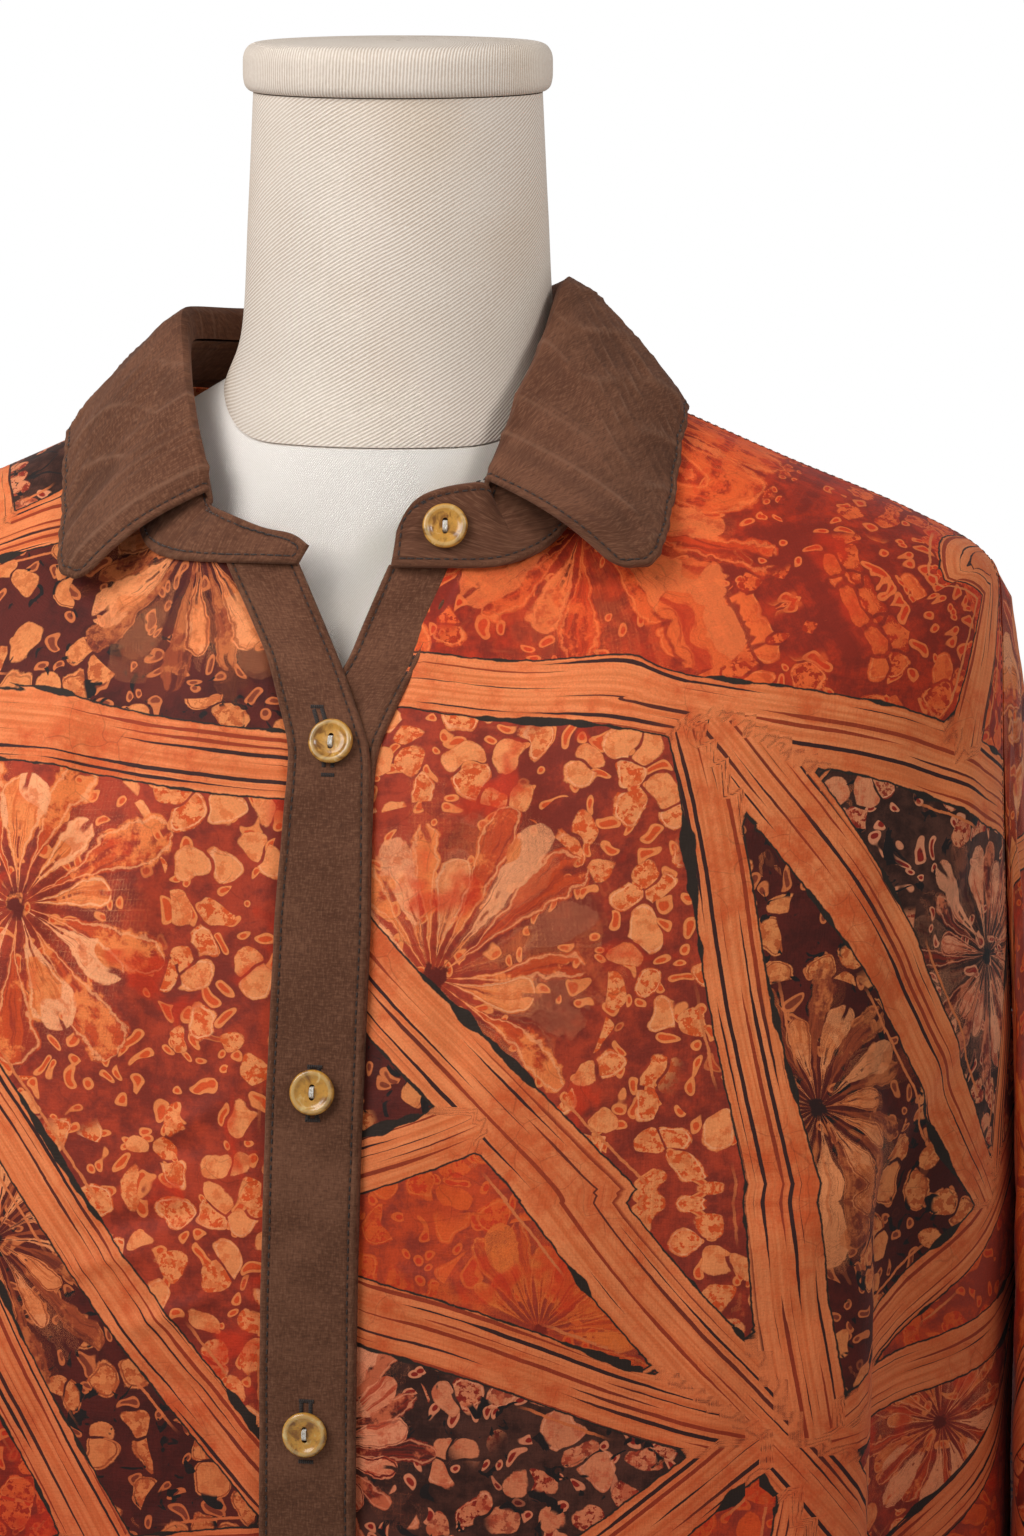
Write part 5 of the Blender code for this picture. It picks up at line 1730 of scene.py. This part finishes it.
# painted shade: the groove that the stitching presses in is darkened
groove = abs(rim - STITCH_IN).step(0.0008, 0.0002) * (flat.noise(260, 2) * 0.7 + 0.2)
colour = colour.paint(groove * 0.6, "2e1b12")
normal = slubs.bump(0.00022, 0.35, flat.noise(48, 3, 0.55).bump(0.0040, 0.50))
brown.finish(colour, 0.84, normal, Sheen_Weight=0.04, Sheen_Roughness=0.5, Specular_IOR_Level=0.20)
print("brown cotton:", len(brown.nodes), "nodes")

# %% [markdown]
# ## Linen twill
#
# The form's cover is a cream twill. In a twill each thread passes over two and under one, a step further
# in each row, so slanting ribs appear. The ribs are a sine wave across the slant, broken up by noise,
# with a fine speck where a thread is thicker.

# %% Cream twill for the dress form
TWILL_PITCH = 0.00108
cloth_x, cloth_y, fine = linen.field("cloth").unpack()
flat = cloth_x.point(cloth_y)
slant = cloth_y * 0.87 - cloth_x * 0.49 + (flat.noise(24, 2) - 0.5) * 0.0022
ribs = slant.math("SINE", slant * (2 * math.pi / TWILL_PITCH))
rib = ribs * 0.34 + (cloth_x * 700).point(cloth_y * 700, fine).noise(1.0, 3, 0.7) * 0.8
depth = flat.noise(22, 3, 0.6).step(0.30, 0.65) * 0.35 + 0.60
colour = fine.step(0.6, 0.9).mix("fff8f0", "efe3d6")
colour = colour.paint(rib.step(0.66, 0.10) * depth * fine * 0.70, "b69d86")
colour = flat.noise(9, 2).step(0.45, 0.75).mix(colour, "f3ece2", "MULTIPLY")
colour = colour.paint(flat.noise(520, 2, 0.7).step(0.70, 0.76) * 0.5, "f4eee5")
normal = rib.bump(0.00045, 0.55)
linen.finish(colour, 0.88, normal, Sheen_Weight=0.05, Sheen_Roughness=0.5, Specular_IOR_Level=0.25)
print("linen:", len(linen.nodes), "nodes")

# %% [markdown]
# ## Horn, thread and steel
#
# Horn is clouded from honey to cream and a little translucent. The top of its raised rim is painted pale as a
# highlight, and its foot is painted dark as shade.
# The stand is sprayed steel with a fine orange-peel surface.

# %% Horn
place = horn.field("cloth")
_, _, height = place.unpack()
flow, fleck = place.noise(170, 3, 0.6, 1.0), place.noise(900, 2)
colour = flow.step(0.36, 0.56).mix("8a5716", "cc9238").paint(flow.step(0.60, 0.76), "e8c684")
colour = colour.paint(fleck.step(0.55, 0.70) * 0.25, "6d4a22")
# painted highlight: the top of the raised rim is lighter
colour = colour.paint(height.step(0.0025, 0.0027) * 0.35, "d8c08a")
# painted shade: the button's foot, below 1.5 mm, is dark
colour = colour.paint(height.step(0.0015, 0.0007), "43301c")
coat = {"Coat_Weight": 0.4, "Coat_Roughness": 0.12, "Subsurface_Weight": 0.10, "Subsurface_Scale": 0.002}
horn.finish(colour, 0.24, fleck.bump(0.0001, 0.3), Specular_IOR_Level=0.55, **coat)
print("horn:", len(horn.nodes), "nodes")

# %% Thread and sprayed steel
SPUN = ((thread, "f4efe6", "b9ad9c"), (dark_thread, "38251c", "1a110c"), (rust_thread, "7d3f24", "401c12"))
for finish, light, shadow in SPUN:
    ply = finish.place().noise(2400, 2, 0.6)
    finish.finish(ply.step(0.35, 0.65).mix(shadow, light), 0.7, ply.bump(0.0002, 0.5), Sheen_Weight=0.2)
place = steel.place()
dust = place.noise(14, 4, 0.6)
peel = place.noise(900, 2).bump(0.0002, 0.25)
steel.finish(dust.step(0.40, 0.75).mix("dcd8d1", "c8c3bb"), dust * 0.2 + 0.32, peel, Specular_IOR_Level=0.5)
print("thread: white on the buttons, dark brown on the bands, rust on the print")

# %% [markdown]
# ## Floor, light and camera
#
# The floor is plain and pale, and the light soft, from the front and a little to the left. The camera
# stands at chest height, slightly to the wearer's left, with a long lens.

# %% Floor
FLOOR_RADIUS, SIDES = 1.45, 60
around = [2 * math.pi * step / SIDES for step in range(SIDES)]
floor = bpy.data.meshes.new("floor")
corners = [(FLOOR_RADIUS * math.sin(a), -FLOOR_RADIUS * math.cos(a), 0) for a in around]
floor.from_pydata(corners, [], [tuple(range(SIDES))])
link("floor", floor)
pale = Finish("pale_floor")
pale.finish((0.80, 0.80, 0.80, 1), 0.9)
floor.materials.append(pale.material)
print("floor:", len(floor.vertices), "corners")

# %% White backdrop
world = bpy.data.worlds.new("studio")
bpy.context.scene.world = world
world.use_nodes = True
sky, nodes, links = world.node_tree.nodes["Background"], world.node_tree.nodes, world.node_tree.links
sky.inputs["Color"].default_value = (1, 1, 1, 1)
seen = nodes.new("ShaderNodeLightPath").outputs["Is Camera Ray"]
strength = nodes.new("ShaderNodeMapRange")  # the backdrop is white, but lights the shirt less than that
AS_LIGHT, AS_SEEN = 0.38, 1.0
strength.inputs["To Min"].default_value, strength.inputs["To Max"].default_value = AS_LIGHT, AS_SEEN
links.new(seen, strength.inputs["Value"])
links.new(strength.outputs[0], sky.inputs["Strength"])
print("backdrop:", AS_SEEN, "as the camera sees it,", AS_LIGHT, "as light")


# %% Two soft lights
def aim(made, place, target):
    """Puts a light or a camera in its place and turns it towards a target."""
    made.location = place
    made.rotation_euler = (Vector(target) - Vector(place)).to_track_quat("-Z", "Y").to_euler()


def area_light(name, place, target, size, power, spread=180):
    light = bpy.data.lights.new(name, "AREA")
    light.spread, light.size, light.energy = math.radians(spread), size, power
    aim(link(name, light), place, target)


area_light("key", (-0.60, -0.66, 1.38), (0, 0, 0.80), 0.70, 8.0)
area_light("fill", (0.62, -0.42, 1.30), (0.03, -0.02, 0.93), 0.25, 0.12, 34)
bpy.context.scene.view_settings.view_transform = "Standard"

# %% Camera
lens = bpy.data.cameras.new("camera")
AWAY = 2.0
lens.lens, lens.sensor_width, lens.clip_end = 150, 36, 60
turn, rise = math.radians(11.5), math.radians(8.9)
target = Vector((0.04838, -0.05626, 0.74259))
way = Vector((math.sin(turn) * math.cos(rise), -math.cos(turn) * math.cos(rise), math.sin(rise)))
camera = link("camera", lens)
aim(camera, target + AWAY * way, target)
bpy.context.scene.camera = camera
print("camera at", camera.location)
